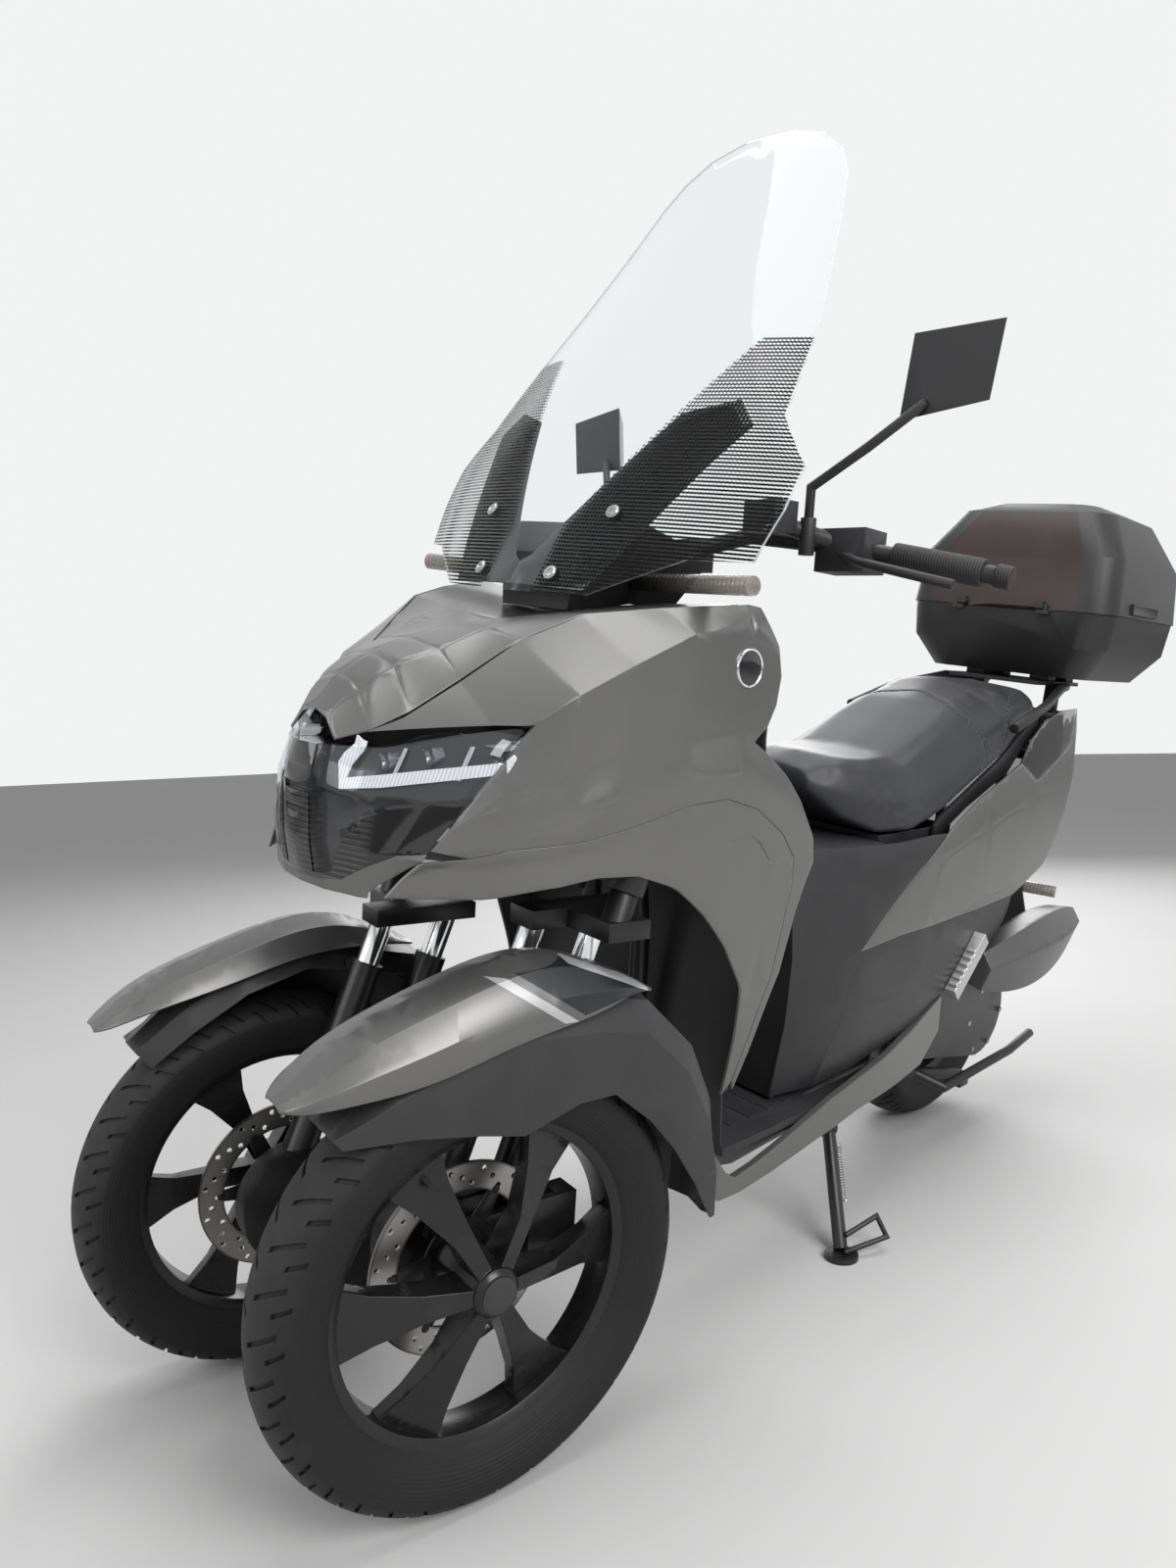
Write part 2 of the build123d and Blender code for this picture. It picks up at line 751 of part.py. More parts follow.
def belt_case():
    """Long drive case on the left, rounded at both pulleys, with the damper's lower lug."""
    front = Pos(-1020, (engine_half + 136) / 2, 355) * Rot(90, 0, 0) * Cylinder(95, 136 - engine_half)
    rear = Pos(-1400, 118, 262) * Rot(90, 0, 0) * Cylinder(82, 56)
    bar = side_cut(case_bar, case_inner, 150)
    return front + rear + bar


def air_cleaner():
    table = [
        (-1275, [(150.3, 360), (182, 352), (196, 398), (176, 428), (152, 420)]),
        (-1400, [(150.3, 334), (208, 340), (222, 420), (196, 462), (152, 456)]),
        (-1600, [(150.3, 366), (206, 368), (220, 430), (194, 478), (152, 472)]),
        (-1700, [(152, 400), (190, 402), (200, 436), (182, 462), (154, 456)]),
    ]
    return solid_skin(table, smooth=True)


muffler_front = (-1130, -188, 250)
muffler_back = (-1640, -215, 372)
pipe_radius = 16


def muffler():
    """Exhaust pipe from the engine's head, the silencer and its guard."""
    axis = Vector(*muffler_back) - Vector(*muffler_front)
    can = Solid.make_cylinder(muffler_radius, axis.length, Plane(Vector(*muffler_front), z_dir=axis))
    end = Vector(*muffler_back)
    tip = Solid.make_cylinder(24, 34, Plane(end - axis.normalized() * 2, z_dir=axis))
    pipe = tube([(-722, -45, 320 - seat_clearance), (-722, -45, 276), (-930, -60, 276),
                 (-1080, -150, 262), (-1140, -186, 252)], pipe_radius)
    guard = side_cut([(-1180, 330), (-1570, 425), (-1580, 365), (-1190, 268)], -286, -262)
    stay = block(-1300, -1270, -150, arm_outer - seat_clearance, 290, 310)
    return can + tip + pipe + guard + stay


shock_top_z = 655


def rear_shocks():
    """A damper with its spring on each side of the rear wheel."""
    shapes = []
    arm = [(-1480, 330), (-1300, 330), (-1300, 280), (-1480, 280)]
    for y0, y1, z0, seat in ((120, 126, 344, case_bar), (-104, -118, 328, arm)):
        a = Vector(-1400, y0, z0)
        b = Vector(-1345, y1, shock_top_z)
        shock = rod(a, b, 11) + rod(a + (b - a) * 0.4, a + (b - a) * 0.92, 20)
        trim = side_cut([(x, z + seat_clearance) for x, z in seat], y0 - 40, y0 + 40)
        trim += block(-1500, -1200, y0 - 40, y0 + 40, shock_top_z - seat_clearance, 720)
        shapes += (shock - trim).solids()
    return Compound(children=shapes)


rail_radius = 14
cross_radius = 12
cross_x = -1500
cross_z = 795.5
rail_path = [
    (-365, 24, 850), (-396, 50, 560), (-396, 70, 300), (-450, 100, 240), (-860, 100, 240),
    (-900, 150, 300), (-915, 150, 470), (-1150, 150, 565), (-1330, 143, 720), (-1658, 96, tail_plate_top - 16),
]


def column_point(z):
    """A point of the handlebar's steering axis at a height."""
    return Vector(column_x + (column_z - z) * math.tan(caster_rad), 0, z)


def frame():
    """Tubular frame: head tube, beam and centre post for the arms, down tubes, rails."""
    shape = rod(column_point(640), column_point(head_top), 27)
    shape += rod((-300, 0, 690), (centre_post_x(700), 0, 700), 20)
    low = Vector(centre_post_x(post_bottom), 0, post_bottom)
    high = Vector(centre_post_x(post_top), 0, post_top)
    shape += rod(low, high, 22)
    for z in (arm_low, arm_high):
        x = centre_post_x(z)
        shape += rod((x, 0, z + arm_drop), (x + arm_offset + 14, 0, z + arm_drop), stud_radius)
    for side in (1, -1):
        shape += tube([(x, side * y, z) for x, y, z in rail_path], rail_radius)
        shape += block(-900, -880, *sorted((side * 142, side * (engine_half + seat_clearance))),
                       380, 400)
        shape += block(-1360, -1330, *sorted((side * 112, side * 145)), shock_top_z, 718)
        shape += block(-597, -573, *sorted((side * 92, side * 108)), 240,
                       floor_top - floor_wall - seat_clearance)
    for x, z, half in ((-585, 240, 100), (-845, 240, 100), (cross_x, cross_z, 119)):
        shape += rod((x, -half, z), (x, half, z), cross_radius)
    shape += block(-597, -573, -20, 20, tray_low + panel_wall + seat_clearance, 232)
    shape += block(tail_plate_back, -1622, -160, 160, tail_plate_top - 18, tail_plate_top) & core(rear_sections)
    pivot = Vector(*stand_pivot)
    axis = stand_axis
    shape += Solid.make_cylinder(16, 20, Plane(pivot - axis * 30, z_dir=axis))
    shape += Solid.make_cylinder(stand_pin_radius, 44, Plane(pivot - axis * 30, z_dir=axis))
    shape += rod((-818, 104, 236), pivot - axis * 20 + Vector(0, 0, 6), 11)
    return shape


# Leaning front suspension: a centre post, two arms pinned to it and to a post on each side

arm_low = front_tyre_radius + 440
arm_high = front_tyre_radius + 500
arm_offset = 48
arm_drop = (front_lift(1) + front_lift(-1)) / 2
stud_radius = 8
post_top = front_tyre_radius + 530
post_bottom = front_tyre_radius + 405
post_radius = 21
stem_radius = 14
head_top = 880


def kingpin_point(side, z):
    """A point of one steering axis at a straight-ahead height."""
    return Vector(kingpin_x - (z - kingpin_z) * math.tan(caster_rad), side * track / 2, z)


def centre_post_x(z):
    return kingpin_point(0, z).X


def lean_linkage():
    """Two arms across the machine, tilted against the lean, and the post that each end carries."""
    shapes = []
    rise = (front_lift(1) - front_lift(-1)) / 2
    for z in (arm_low, arm_high):
        x = centre_post_x(z) + arm_offset
        centre = z + arm_drop
        low, high = (-track / 2, centre - rise), (track / 2, centre + rise)
        corners = [(low[0], low[1] - 11), (high[0], high[1] - 11), (high[0], high[1] + 11),
                   (low[0], low[1] + 11)]
        arm = front_cut(corners, x - 10, x + 10)
        for y, h in (low, (0, centre), high):
            arm += Pos(x, y, h) * Rot(0, 90, 0) * Cylinder(15, 20)
            arm -= Pos(x, y, h) * Rot(0, 90, 0) * Cylinder(stud_radius + running_gap, 60)
        shapes += arm.solids()
    for side in (1, -1):
        low = kingpin_point(side, post_bottom)
        high = kingpin_point(side, post_top)
        post = Solid.make_cylinder(post_radius, (high - low).length, Plane(low, z_dir=steering_up))
        for z in (arm_low, arm_high):
            p = kingpin_point(side, z)
            post += rod(p, (p.X + arm_offset + 14, p.Y, z), stud_radius)
        post -= Solid.make_cylinder(stem_radius + running_gap, 400,
                                    Plane(low - steering_up * 50, z_dir=steering_up))
        shapes += (Pos(0, 0, front_lift(side)) * post).solids()
    return Compound(children=shapes)


# Front wheel carrier, drawn for the left side with the wheel straight ahead

leg_bottom = front_tyre_radius + 12
leg_top = front_tyre_radius + 303
bracket_low = front_tyre_radius + 354
bracket_high = front_tyre_radius + 376


def fork_point(offset, z):
    """A point of a fork tube's axis: offset forward of the steering axis, at a height."""
    base = kingpin_point(1, z)
    return Vector(base.X + offset / math.cos(caster_rad), base.Y - fork_inset, z)


def fork():
    """Two telescopic legs inboard of the wheel, the axle, its cover and the caliper."""
    half = fork_spacing * 0.7
    hub_y = track / 2
    leg_y = hub_y - fork_inset
    front = fork_point(half + 24, bracket_high)
    back = fork_point(-half - 24, bracket_high)
    shape = block(back.X, front.X, leg_y - 24, leg_y + 24, bracket_low, bracket_high)
    for offset in (half, -half):
        shape += rod(fork_point(offset, leg_bottom), fork_point(offset, leg_top), fork_leg_radius)
        shape += rod(fork_point(offset, leg_top - 1), fork_point(offset, bracket_low + 8),
                     fork_tube_radius)
    p = kingpin_point(1, bracket_high)
    shape += block(p.X - 34, p.X + 24, leg_y + 20, hub_y + 20, bracket_low, bracket_high)
    seat = kingpin_point(1, post_bottom) - steering_up * seat_clearance
    base = kingpin_point(1, bracket_low + 8)
    shape += Solid.make_cylinder(post_radius - 4, (seat - base).length, Plane(base, z_dir=steering_up))
    top = kingpin_point(1, post_top) + steering_up * seat_clearance
    stem = (top - seat).length + 2
    shape += Solid.make_cylinder(stem_radius, stem, Plane(seat - steering_up, z_dir=steering_up))
    shape += Solid.make_cylinder(22, 9, Plane(top, z_dir=steering_up))
    hub_z = front_tyre_radius
    shape += block(-70, 20, leg_y - 22, leg_y + 22, hub_z - 25, hub_z + 50)
    shape += Pos(0, leg_y - 4, hub_z) * Rot(90, 0, 0) * Cylinder(74, 40)
    shape += rod((0, leg_y, hub_z), (0, hub_y + 26, hub_z), axle_radius)
    disc_y = hub_y - disc_inset - disc_thickness / 2
    caliper = block(-142, -78, disc_y - 18, disc_y + 16, hub_z - 24, hub_z + 50)
    slot = disc_thickness / 2 + moving_gap
    reach = -front_disc_radius - moving_gap
    caliper -= block(reach, 0, disc_y - slot, disc_y + slot, hub_z - 50, hub_z + 70)
    shape += caliper
    shape += block(-122, -40, leg_y, disc_y - 10, hub_z + 12, hub_z + 32)
    return shape


# Fender shells: silver crown rows by x from the hub, then dark skirt rows by angle

fender_crown = [
    # x from the hub, outboard half width, low edge and crown height over the tyre's top
    (230, 20, -14, -9),
    (205, 46, -10, 12),
    (150, 60, -3, 46),
    (80, 65, 8, 74),
    (0, 66, 28, 98),
    (-60, 66, 39, 102),
    (-110, 66, 51, 88),
    (-165, 64, 62, 66),
]
fender_arc = [
    # angle from forward, skirt edge and crown outside the tyre, outboard half width
    (48, 12, 34, 40),
    (62, -28, 42, 54),
    (78, -58, 60, 60),
    (94, -72, 80, 62.7),
    (112, -36, 84, 62.4),
    (122, -14, 100, 64),
    (138, -12, 96, 64),
    (152, -4, 84, 62),
    (166, 14, 68, 58),
    (178, 40, 52, 52),
]
fender_wall = 3
crown_pad_height = 79.5


def fender_upper():
    wires = []
    tyre_top = 2 * front_tyre_radius
    for x, wide, low, top in fender_crown:
        rise = top - low
        outer = [(wide, low), (wide * 0.94, low + rise * 0.45), (wide * 0.6, low + rise * 0.86),
                 (0, top), (-wide * 0.6, low + rise * 0.86), (-wide * 0.9, low + rise * 0.45)]
        outline = outer + inset(outer, fender_wall)[::-1]
        wires.append(ring([(x, track / 2 + w, tyre_top + z) for w, z in outline]))
    pad_low = tyre_top + crown_pad_height
    pad = block(-30, -16, track / 2 - 8, track / 2 + 8, pad_low, pad_low + 18)
    return loft_through(wires, smooth=True) + pad


def fender_lower():
    """Dark inner shell and skirt, held to the front fork leg by a lug."""
    wires = []
    for angle, skirt_over, crown_over, wide in fender_arc:
        skirt = front_tyre_radius + skirt_over
        crown = front_tyre_radius + crown_over
        outer = [(wide, skirt), (wide - 2, skirt * 0.35 + crown * 0.65), (wide * 0.62, crown - 8),
                 (0, crown), (-wide * 0.6, crown - 8), (-wide + 6, crown - 34)]
        outline = outer + inset(outer, fender_wall)[::-1]
        c = math.cos(math.radians(angle))
        s = math.sin(math.radians(angle))
        wires.append(ring([(r * c, track / 2 + w, front_tyre_radius + r * s)
                           for w, r in outline]))
    half = fork_spacing * 0.7
    leg = rod(fork_point(half, leg_top - 53), fork_point(half, leg_top + 30),
              fork_leg_radius + seat_clearance)
    lug = block(-98, -72, track / 2 - fork_inset + 4, track / 2 - 52, leg_top - 19, leg_top - 1) - leg
    lug = max(lug.solids(), key=lambda s: s.center().Y)
    return loft_through(wires) + lug


# Wheels, drawn at the origin with the outboard side at +Y

def rim(bead, half, spoke_end, capped):
    lip = bead + bead_rise
    profile = [(bead, half), (lip, half + bead_flare), (bead - 9, half - 4)]
    shape = spun(profile + [(r, -y) for r, y in profile[::-1]])
    shape += spun([(0, -disc_inset), (0, hub_reach), (22, hub_reach), (hub_radius, hub_reach - 5),
                   (hub_radius + 5, 8), (hub_radius + 9, -disc_inset)])
    blade = loft_through([
        ring([(r, y, z) for y, z in outline]) for r, outline in (
            (18, [(42, -8), (42, 8), (4, 13), (4, -13)]),
            (78, [(37, -12), (29, 13), (3, 15), (7, -11)]),
            (spoke_end - 40, [(25, -26), (13, 21), (-5, 23), (1, -23)]),
            (spoke_end, [(15, -42), (3, 36), (-12, 38), (-8, -39)]),
        )
    ])
    for i in range(spoke_count):
        shape += blade.rotate(Axis.Y, i * 360 / spoke_count)
    bore_end = 28 if capped else 100
    return shape - rod((0, -100, 0), (0, bore_end, 0), axle_radius + running_gap)


def tyre(section):
    half = [(r, y) for r, y in section]
    return spun(half + [(r, -y) for r, y in half[::-1]])


def disc(radius):
    """Brake disc bolted to the hub's inner face."""
    back = -disc_inset - disc_thickness
    return spun([(disc_bore, -disc_inset), (disc_bore, back), (radius, back),
                 (radius, -disc_inset)])


def front_place(shape, side):
    """Put a wheel drawn at the origin on its front axle."""
    if side < 0:
        shape = mirror(shape, about=Plane.XZ)
    shape = Pos(0, side * track / 2, front_tyre_radius) * shape
    return on_fork(shape, side)


def rear_place(shape):
    return Pos(-wheelbase, 0, rear_hub_z) * shape


# Handlebar, drawn straight ahead

bar_path = [(column_x, 20, column_z + 8), (-478, 110, column_z + 27), (-560, 200, column_z + 17),
            (-618, 384, column_z - 19)]


def bar_point(side, share):
    """A point of the straight outer run of the bar, from its bend at 0 to its end at 1."""
    a, b = Vector(*bar_path[-2]), Vector(*bar_path[-1])
    p = a + (b - a) * share
    return Vector(p.X, side * p.Y, p.Z)


def bar_tube(side, radius):
    return tube([(x, side * y, z) for x, y, z in bar_path], radius)


def handlebar():
    foot = column_point(head_top) + steering_up * seat_clearance
    shape = rod(foot, column_point(column_z), 13)
    shape += block(column_x - 22, column_x + 22, -45, 45, column_z - 20, column_z + 22)
    for side in (1, -1):
        shape += bar_tube(side, bar_radius)
    return shape


def grips():
    shapes = []
    for side in (1, -1):
        grip = rod(bar_point(side, 0.34), bar_point(side, 0.93), grip_radius)
        shapes += (grip - bar_tube(side, bar_radius + bar_fit)).solids()
        end = bar_point(side, 1)
        out = (end - bar_point(side, 0)).normalized()
        shapes += rod(end + out * bar_fit, end + out * 20, 14).solids()
    return Compound(children=shapes)


def controls():
    """Switch housings, brake reservoirs and levers."""
    shapes = []
    for side in (1, -1):
        housing = block(-30, 30, -34, 34, -28, 26)
        shape = Pos(-560, side * 208, column_z + 11) * Rot(0, 0, side * 14) * housing
        shape += block(-480, -440, side * 160 - 28, side * 160 + 28, column_z + 27, column_z + 65)
        shape += rod((-470, side * 165, column_z + 39), (-545, side * 200, column_z + 19), 11)
        shape += rod((-500, side * 188, column_z + 1), (-500, side * 188, mirror_base), 10)
        shape += tube([(-540, side * 205, column_z + 7), (-528, side * 250, column_z - 7),
                       (-556, side * 372, column_z - 35)], 6)
        shapes += (shape - bar_tube(side, bar_radius + bar_fit)).solids()
    return Compound(children=shapes)


def mirrors():
    shapes = []
    for side in (1, -1):
        back = -500 - mirror_setback
        stem = tube([(-500, side * 188, mirror_base + seat_clearance),
                     (-500, side * 188, mirror_base + 38), (back + 14, side * 265, mirror_base + 80),
                     (back - 19, side * 318, mirror_base + 130)], 6)
        table = [(back - 45, [(-38, -26), (38, -26), (44, 30), (-30, 34)]),
                 (back - 20, [(-62, -46), (62, -40), (74, 46), (-50, 54)])]
        head = loft_through([ring([(x, side * (342 + y), mirror_base + 160 + z) for y, z in pts])
                             for x, pts in table])
        shapes += (stem + head).solids()
    return Compound(children=shapes)


def signals():
    """Slim front indicators under the screen and a pair on the rear mud flap."""
    shapes = []
    for side in (1, -1):
        front = rod((-280, side * 60, 1042), (-238, side * 284, 1047), 11)
        front = (front - instrument_panel()).solids()
        shapes.append(max(front, key=lambda s: s.volume))
        shapes += rod((-1655, side * (fender_half + seat_clearance), 490),
                      (-1668, side * 150, 492), 13).solids()
    return Compound(children=shapes)


# Stands, pegs and luggage

def side_stand():
    pivot = Vector(*stand_pivot)
    foot = Vector(*stand_foot)
    shape = rod(pivot, foot + (pivot - foot).normalized() * 12, stand_tube_radius)
    shape += Solid.make_cylinder(18, 18, Plane(pivot - stand_axis * 9, z_dir=stand_axis))
    shape += Pos(foot.X, foot.Y, foot.Z) * Rot(lean, 0, 0) * Pos(0, 0, 4) * Cylinder(26, 8)
    shape += tube([(foot.X + 4, foot.Y + 6, foot.Z + 14), (foot.X - 60, foot.Y + 40, foot.Z + 34),
                   (foot.X - 78, foot.Y + 10, foot.Z + 48),
                   (foot.X - 14, foot.Y - 6, foot.Z + 30)], 4)
    bore = Solid.make_cylinder(stand_pin_radius + running_gap, 60,
                               Plane(pivot - stand_axis * 30, z_dir=stand_axis))
    return shape - bore


def centre_stand():
    x, z = centre_pivot_x, centre_pivot_z
    shape = rod((x, -104, z), (x, 104, z), stand_shaft_radius)
    for side in (1, -1):
        shape += tube([(x, side * 98, z), (x - 205, side * 138, z - 40)], stand_shaft_radius - 1)
        shape += block(x - 226, x - 190, side * 138 - 17, side * 138 + 17, z - 62, z - 38)
    shape += tube([(x - 60, 106, z - 10), (x - 90, 165, z - 29), (x - 330, 186, z - 2),
                   (x - 430, 186, z + 14)], 9)
    return shape


def pillion_pegs():
    """Folded passenger pegs with toothed edges, against the lower covers."""
    peg = side_cut([(-1102, 392), (-1196, 486), (-1216, 466), (-1122, 372)], 150, 206)
    for i in range(6):
        t = 14 + i * 15
        peg += Pos(-1101 - t * 0.72, 198, 392 + t * 0.72) * Rot(0, 45, 0) * Box(8, 16, 10)
    return both_sides(peg - hull(rear_sections, seat_clearance))


hinge_x = -1492
hinge_z = rack_top + 151
hinge_pin_radius = 2.5
# Rounded plan rows of the top box: x back, x front, half width, height, corner radius

box_rim = rack_top + 144
box_rows = [
    (-1890, -1540, 165, rack_top + 11, 50),
    (-1940, -1505, 208, rack_top + 74, 60),
    (-1945, -1500, 215, box_rim, 60),
]
lid_rows = [
    (-1948, -1497, 218, box_rim + seat_clearance, 60),
    (-1938, -1505, 210, box_rim + 110, 60),
    (-1880, -1560, 160, box_rim + 202, 60),
    (-1850, -1600, 110, box_rim + 222, 50),
]


def rounded(back, front, half, z, radius, wall, lift):
    """A rounded plan outline at a height, drawn in by a wall."""
    sketch = Plane(((back + front) / 2, 0, z + lift)) * RectangleRounded(
        front - back - 2 * wall, 2 * half - 2 * wall, radius - wall)
    return sketch.face().outer_wire()


def shell(rows, lifts):
    """A rounded box open at one end, with an even wall."""
    outer = loft_through([rounded(*row, 0, 0) for row in rows])
    inner = loft_through([rounded(*row, box_wall, lift) for row, lift in zip(rows, lifts)])
    return outer - inner


def box_base():
    shape = shell(box_rows, (box_wall, 0, 1))
    for x in (-1600, -1700):
        for side in (1, -1):
            shape += block(x - 20, x + 20, side * 70 - 20, side * 70 + 20,
                           rack_top + seat_clearance, box_rows[0][3] + 1)
    for side in (1, -1):
        shape += block(hinge_x - 11, hinge_x + 4, side * 90 - 12, side * 90 + 12, hinge_z - 16,
                       box_rim - 1)
        pin = rod((hinge_x, side * 72, hinge_z), (hinge_x, side * 96, hinge_z), hinge_pin_radius)
        shape += pin + block(hinge_x - 3, hinge_x + 3, *sorted((side * 92, side * 98)),
                             hinge_z - 10, hinge_z + 3)
    return shape


def box_lid():
    shape = shell(lid_rows, (-1, 0, 0, -box_wall))
    shape += block(-1958, -1944, -50, 50, box_rim + 8, box_rim + 36)
    for side in (1, -1):
        shape += block(hinge_x - 6, hinge_x + 5, *sorted((side * 74, side * 90)), hinge_z - 5,
                       hinge_z + 9)
        shape -= rod((hinge_x, side * 60, hinge_z), (hinge_x, side * 110, hinge_z),
                     hinge_pin_radius + running_gap)
    return shape


pieces = {
    "frame": frame(),
    "lean_linkage": lean_linkage(),
    "nose_panel": nose_panel(),
    "headlights": headlights(),
    "nose_mask": nose_mask(),
    "chin_panel": chin_panel(),
    "side_cowls": side_cowls(),
    "lower_fairings": lower_fairings(),
    "inner_shield": inner_shield(),
    "windscreen": windscreen(),
    "screen_panel": screen_panel(),
    "instrument_panel": instrument_panel(),
    "floorboard": floorboard(),
    "floor_trims": floor_trims(),
    "under_cowl": under_cowl(),
    "rear_cowls": rear_cowls(),
    "tail_panels": tail_panels(),
    "centre_cover": centre_cover(),
    "lower_covers": lower_covers(),
    "tail_lamp": tail_lamp(),
    "seat_bucket": seat_bucket(),
    "seat_cushion": seat_cushion(),
    "rack": rack(),
    "rear_fender": rear_fender(),
    "engine_block": engine_block(),
    "belt_case": belt_case(),
    "air_cleaner": air_cleaner(),
    "muffler": muffler(),
    "rear_shocks": rear_shocks(),
    "signals": signals(),
    "pillion_pegs": pillion_pegs(),
    "side_stand": side_stand(),
    "centre_stand": centre_stand(),
    "box_base": box_base(),
    "box_lid": box_lid(),
    "handlebar": on_column(handlebar()),
    "grips": on_column(grips()),
    "controls": on_column(controls()),
    "mirrors": on_column(mirrors()),
}

for side, word in ((1, "left"), (-1, "right")):
    for name, piece in (("fork", fork()), ("fender_crown", fender_upper()),
                        ("fender_skirt", fender_lower())):
        if side < 0:
            piece = mirror(piece, about=Plane.XZ)
        pieces[name + "_" + word] = on_fork(piece, side)
    front_rim = rim(front_bead_radius, front_rim_half, 170, capped=True)
    pieces["front_rim_" + word] = front_place(front_rim, side)
    pieces["front_tyre_" + word] = front_place(tyre(front_tyre_section), side)
    pieces["front_disc_" + word] = front_place(disc(front_disc_radius), side)

pieces["rear_rim"] = rear_place(rim(rear_bead_radius, rear_rim_half, 160, capped=False))
pieces["rear_tyre"] = rear_place(tyre(rear_tyre_section))
pieces["rear_disc"] = rear_place(disc(rear_disc_radius))

for name, piece in pieces.items():
    export_step(park(piece), f"parts/{name}.step")
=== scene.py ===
import bpy
import math
from mathutils import Matrix, Vector
from mathutils.kdtree import KDTree
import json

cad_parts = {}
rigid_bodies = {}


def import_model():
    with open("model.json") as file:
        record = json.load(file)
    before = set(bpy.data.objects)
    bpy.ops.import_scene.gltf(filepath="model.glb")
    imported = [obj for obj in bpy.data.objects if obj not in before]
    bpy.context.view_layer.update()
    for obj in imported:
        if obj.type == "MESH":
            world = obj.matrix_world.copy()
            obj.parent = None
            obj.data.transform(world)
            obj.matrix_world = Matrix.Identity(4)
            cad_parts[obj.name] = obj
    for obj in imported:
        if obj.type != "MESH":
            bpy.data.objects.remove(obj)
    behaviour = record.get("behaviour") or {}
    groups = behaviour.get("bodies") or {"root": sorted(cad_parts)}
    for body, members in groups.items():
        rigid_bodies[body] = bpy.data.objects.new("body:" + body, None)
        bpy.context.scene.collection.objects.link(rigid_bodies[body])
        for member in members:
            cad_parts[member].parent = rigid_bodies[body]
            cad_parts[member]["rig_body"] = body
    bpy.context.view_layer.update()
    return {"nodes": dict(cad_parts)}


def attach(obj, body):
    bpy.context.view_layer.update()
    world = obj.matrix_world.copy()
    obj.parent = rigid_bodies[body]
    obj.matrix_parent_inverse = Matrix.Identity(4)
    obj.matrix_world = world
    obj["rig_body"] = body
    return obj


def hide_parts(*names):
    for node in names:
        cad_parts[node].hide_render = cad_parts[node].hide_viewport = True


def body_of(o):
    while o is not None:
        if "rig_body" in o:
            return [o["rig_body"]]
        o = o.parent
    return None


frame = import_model()
print("loaded", len(frame["nodes"]), "nodes")

# The machine is drawn upright in millimetres and leans on its side stand
machine = {
    "lean": 10.3, "steered": -11, "caster": 20, "shift": (855, -189, 0),
    "track": 420, "wheelbase": 1410, "frontHub": 250, "rearHub": 258.3625,
    "kingpin": (-20.3029, 242.6103), "column": (-450, 0, 1085),
    "lift": {"left": 41.084, "right": -35.243},
}
sideSign = {"left": 1, "right": -1}
wheelSides = ("left", "right", "rear")


# Places

def turnAbout(point, axis, degrees):
    there = Matrix.Translation(point)
    return there @ Matrix.Rotation(math.radians(degrees), 4, axis) @ there.inverted()


casterAngle = math.radians(machine["caster"])
steeringUp = Vector((-math.sin(casterAngle), 0, math.cos(casterAngle)))
bodyPlace = Matrix.Translation(machine["shift"]) @ Matrix.Rotation(math.radians(-machine["lean"]), 4, "X")
columnPlace = bodyPlace @ turnAbout(Vector(machine["column"]), steeringUp, machine["steered"])


def forkPlace(side):
    pin = Vector((machine["kingpin"][0], sideSign[side] * machine["track"] / 2, machine["kingpin"][1]))
    lift = Matrix.Translation((0, 0, machine["lift"][side]))
    return bodyPlace @ lift @ turnAbout(pin, steeringUp, machine["steered"])


def hubPlace(side):
    # hub at the origin
    if side == "rear":
        return bodyPlace @ Matrix.Translation((-machine["wheelbase"], 0, machine["rearHub"]))
    hub = (0, sideSign[side] * machine["track"] / 2, machine["frontHub"])
    return forkPlace(side) @ Matrix.Translation(hub)


def wheelPlace(side):
    # the same, with the outboard side at +Y
    return hubPlace(side) @ Matrix.Scale(sideSign.get(side, 1), 4, (0, 1, 0))


def wheelName(part, side):
    # a wheel's body or node
    return "rear_" + part if side == "rear" else "front_" + part + "_" + side


def sceneAt(point):
    # a drawn point in the scene, in metres
    return (bodyPlace @ Vector(point)) * 0.001


def upright(part, place=bodyPlace):
    # a face's or vertex's normal in the drawing
    return place.inverted().to_3x3() @ part.normal


# Editing

def clearPicks():
    if bpy.context.object and bpy.context.object.mode != "OBJECT":
        bpy.ops.object.mode_set(mode="OBJECT")
    bpy.ops.object.select_all(action="DESELECT")


def pickOnly(*objs):
    clearPicks()
    for obj in objs:
        obj.select_set(True)
    bpy.context.view_layer.objects.active = objs[0]


def editAll(obj, mode="VERT"):
    # edit mode with everything selected
    pickOnly(obj)
    bpy.ops.object.mode_set(mode="EDIT")
    bpy.ops.mesh.select_mode(type=mode)
    bpy.ops.mesh.select_all(action="SELECT")


def leaveEdit():
    bpy.ops.object.mode_set(mode="OBJECT")


def pickFaces(obj, wanted):
    # leaves the object in edit mode with the faces that wanted(face) allows
    editAll(obj, "FACE")
    bpy.ops.mesh.select_all(action="DESELECT")
    leaveEdit()
    for face in obj.data.polygons:
        face.select = bool(wanted(face))
    bpy.ops.object.mode_set(mode="EDIT")


def closeShell(obj, distance=0.01):
    editAll(obj)
    bpy.ops.mesh.remove_doubles(threshold=distance)
    bpy.ops.mesh.normals_make_consistent(inside=False)
    leaveEdit()


def copyOf(obj):
    other = obj.copy()
    other.data = obj.data.copy()
    bpy.context.scene.collection.objects.link(other)
    return other


def copyOfNode(node, name):
    obj = bpy.data.objects.new(name, frame["nodes"][node].data.copy())
    bpy.context.scene.collection.objects.link(obj)
    return obj


def useModifier(obj, kind, **settings):
    pickOnly(obj)
    added = obj.modifiers.new(kind.lower(), kind)
    for name, value in settings.items():
        setattr(added, name, value)
    bpy.ops.object.modifier_apply(modifier=added.name)


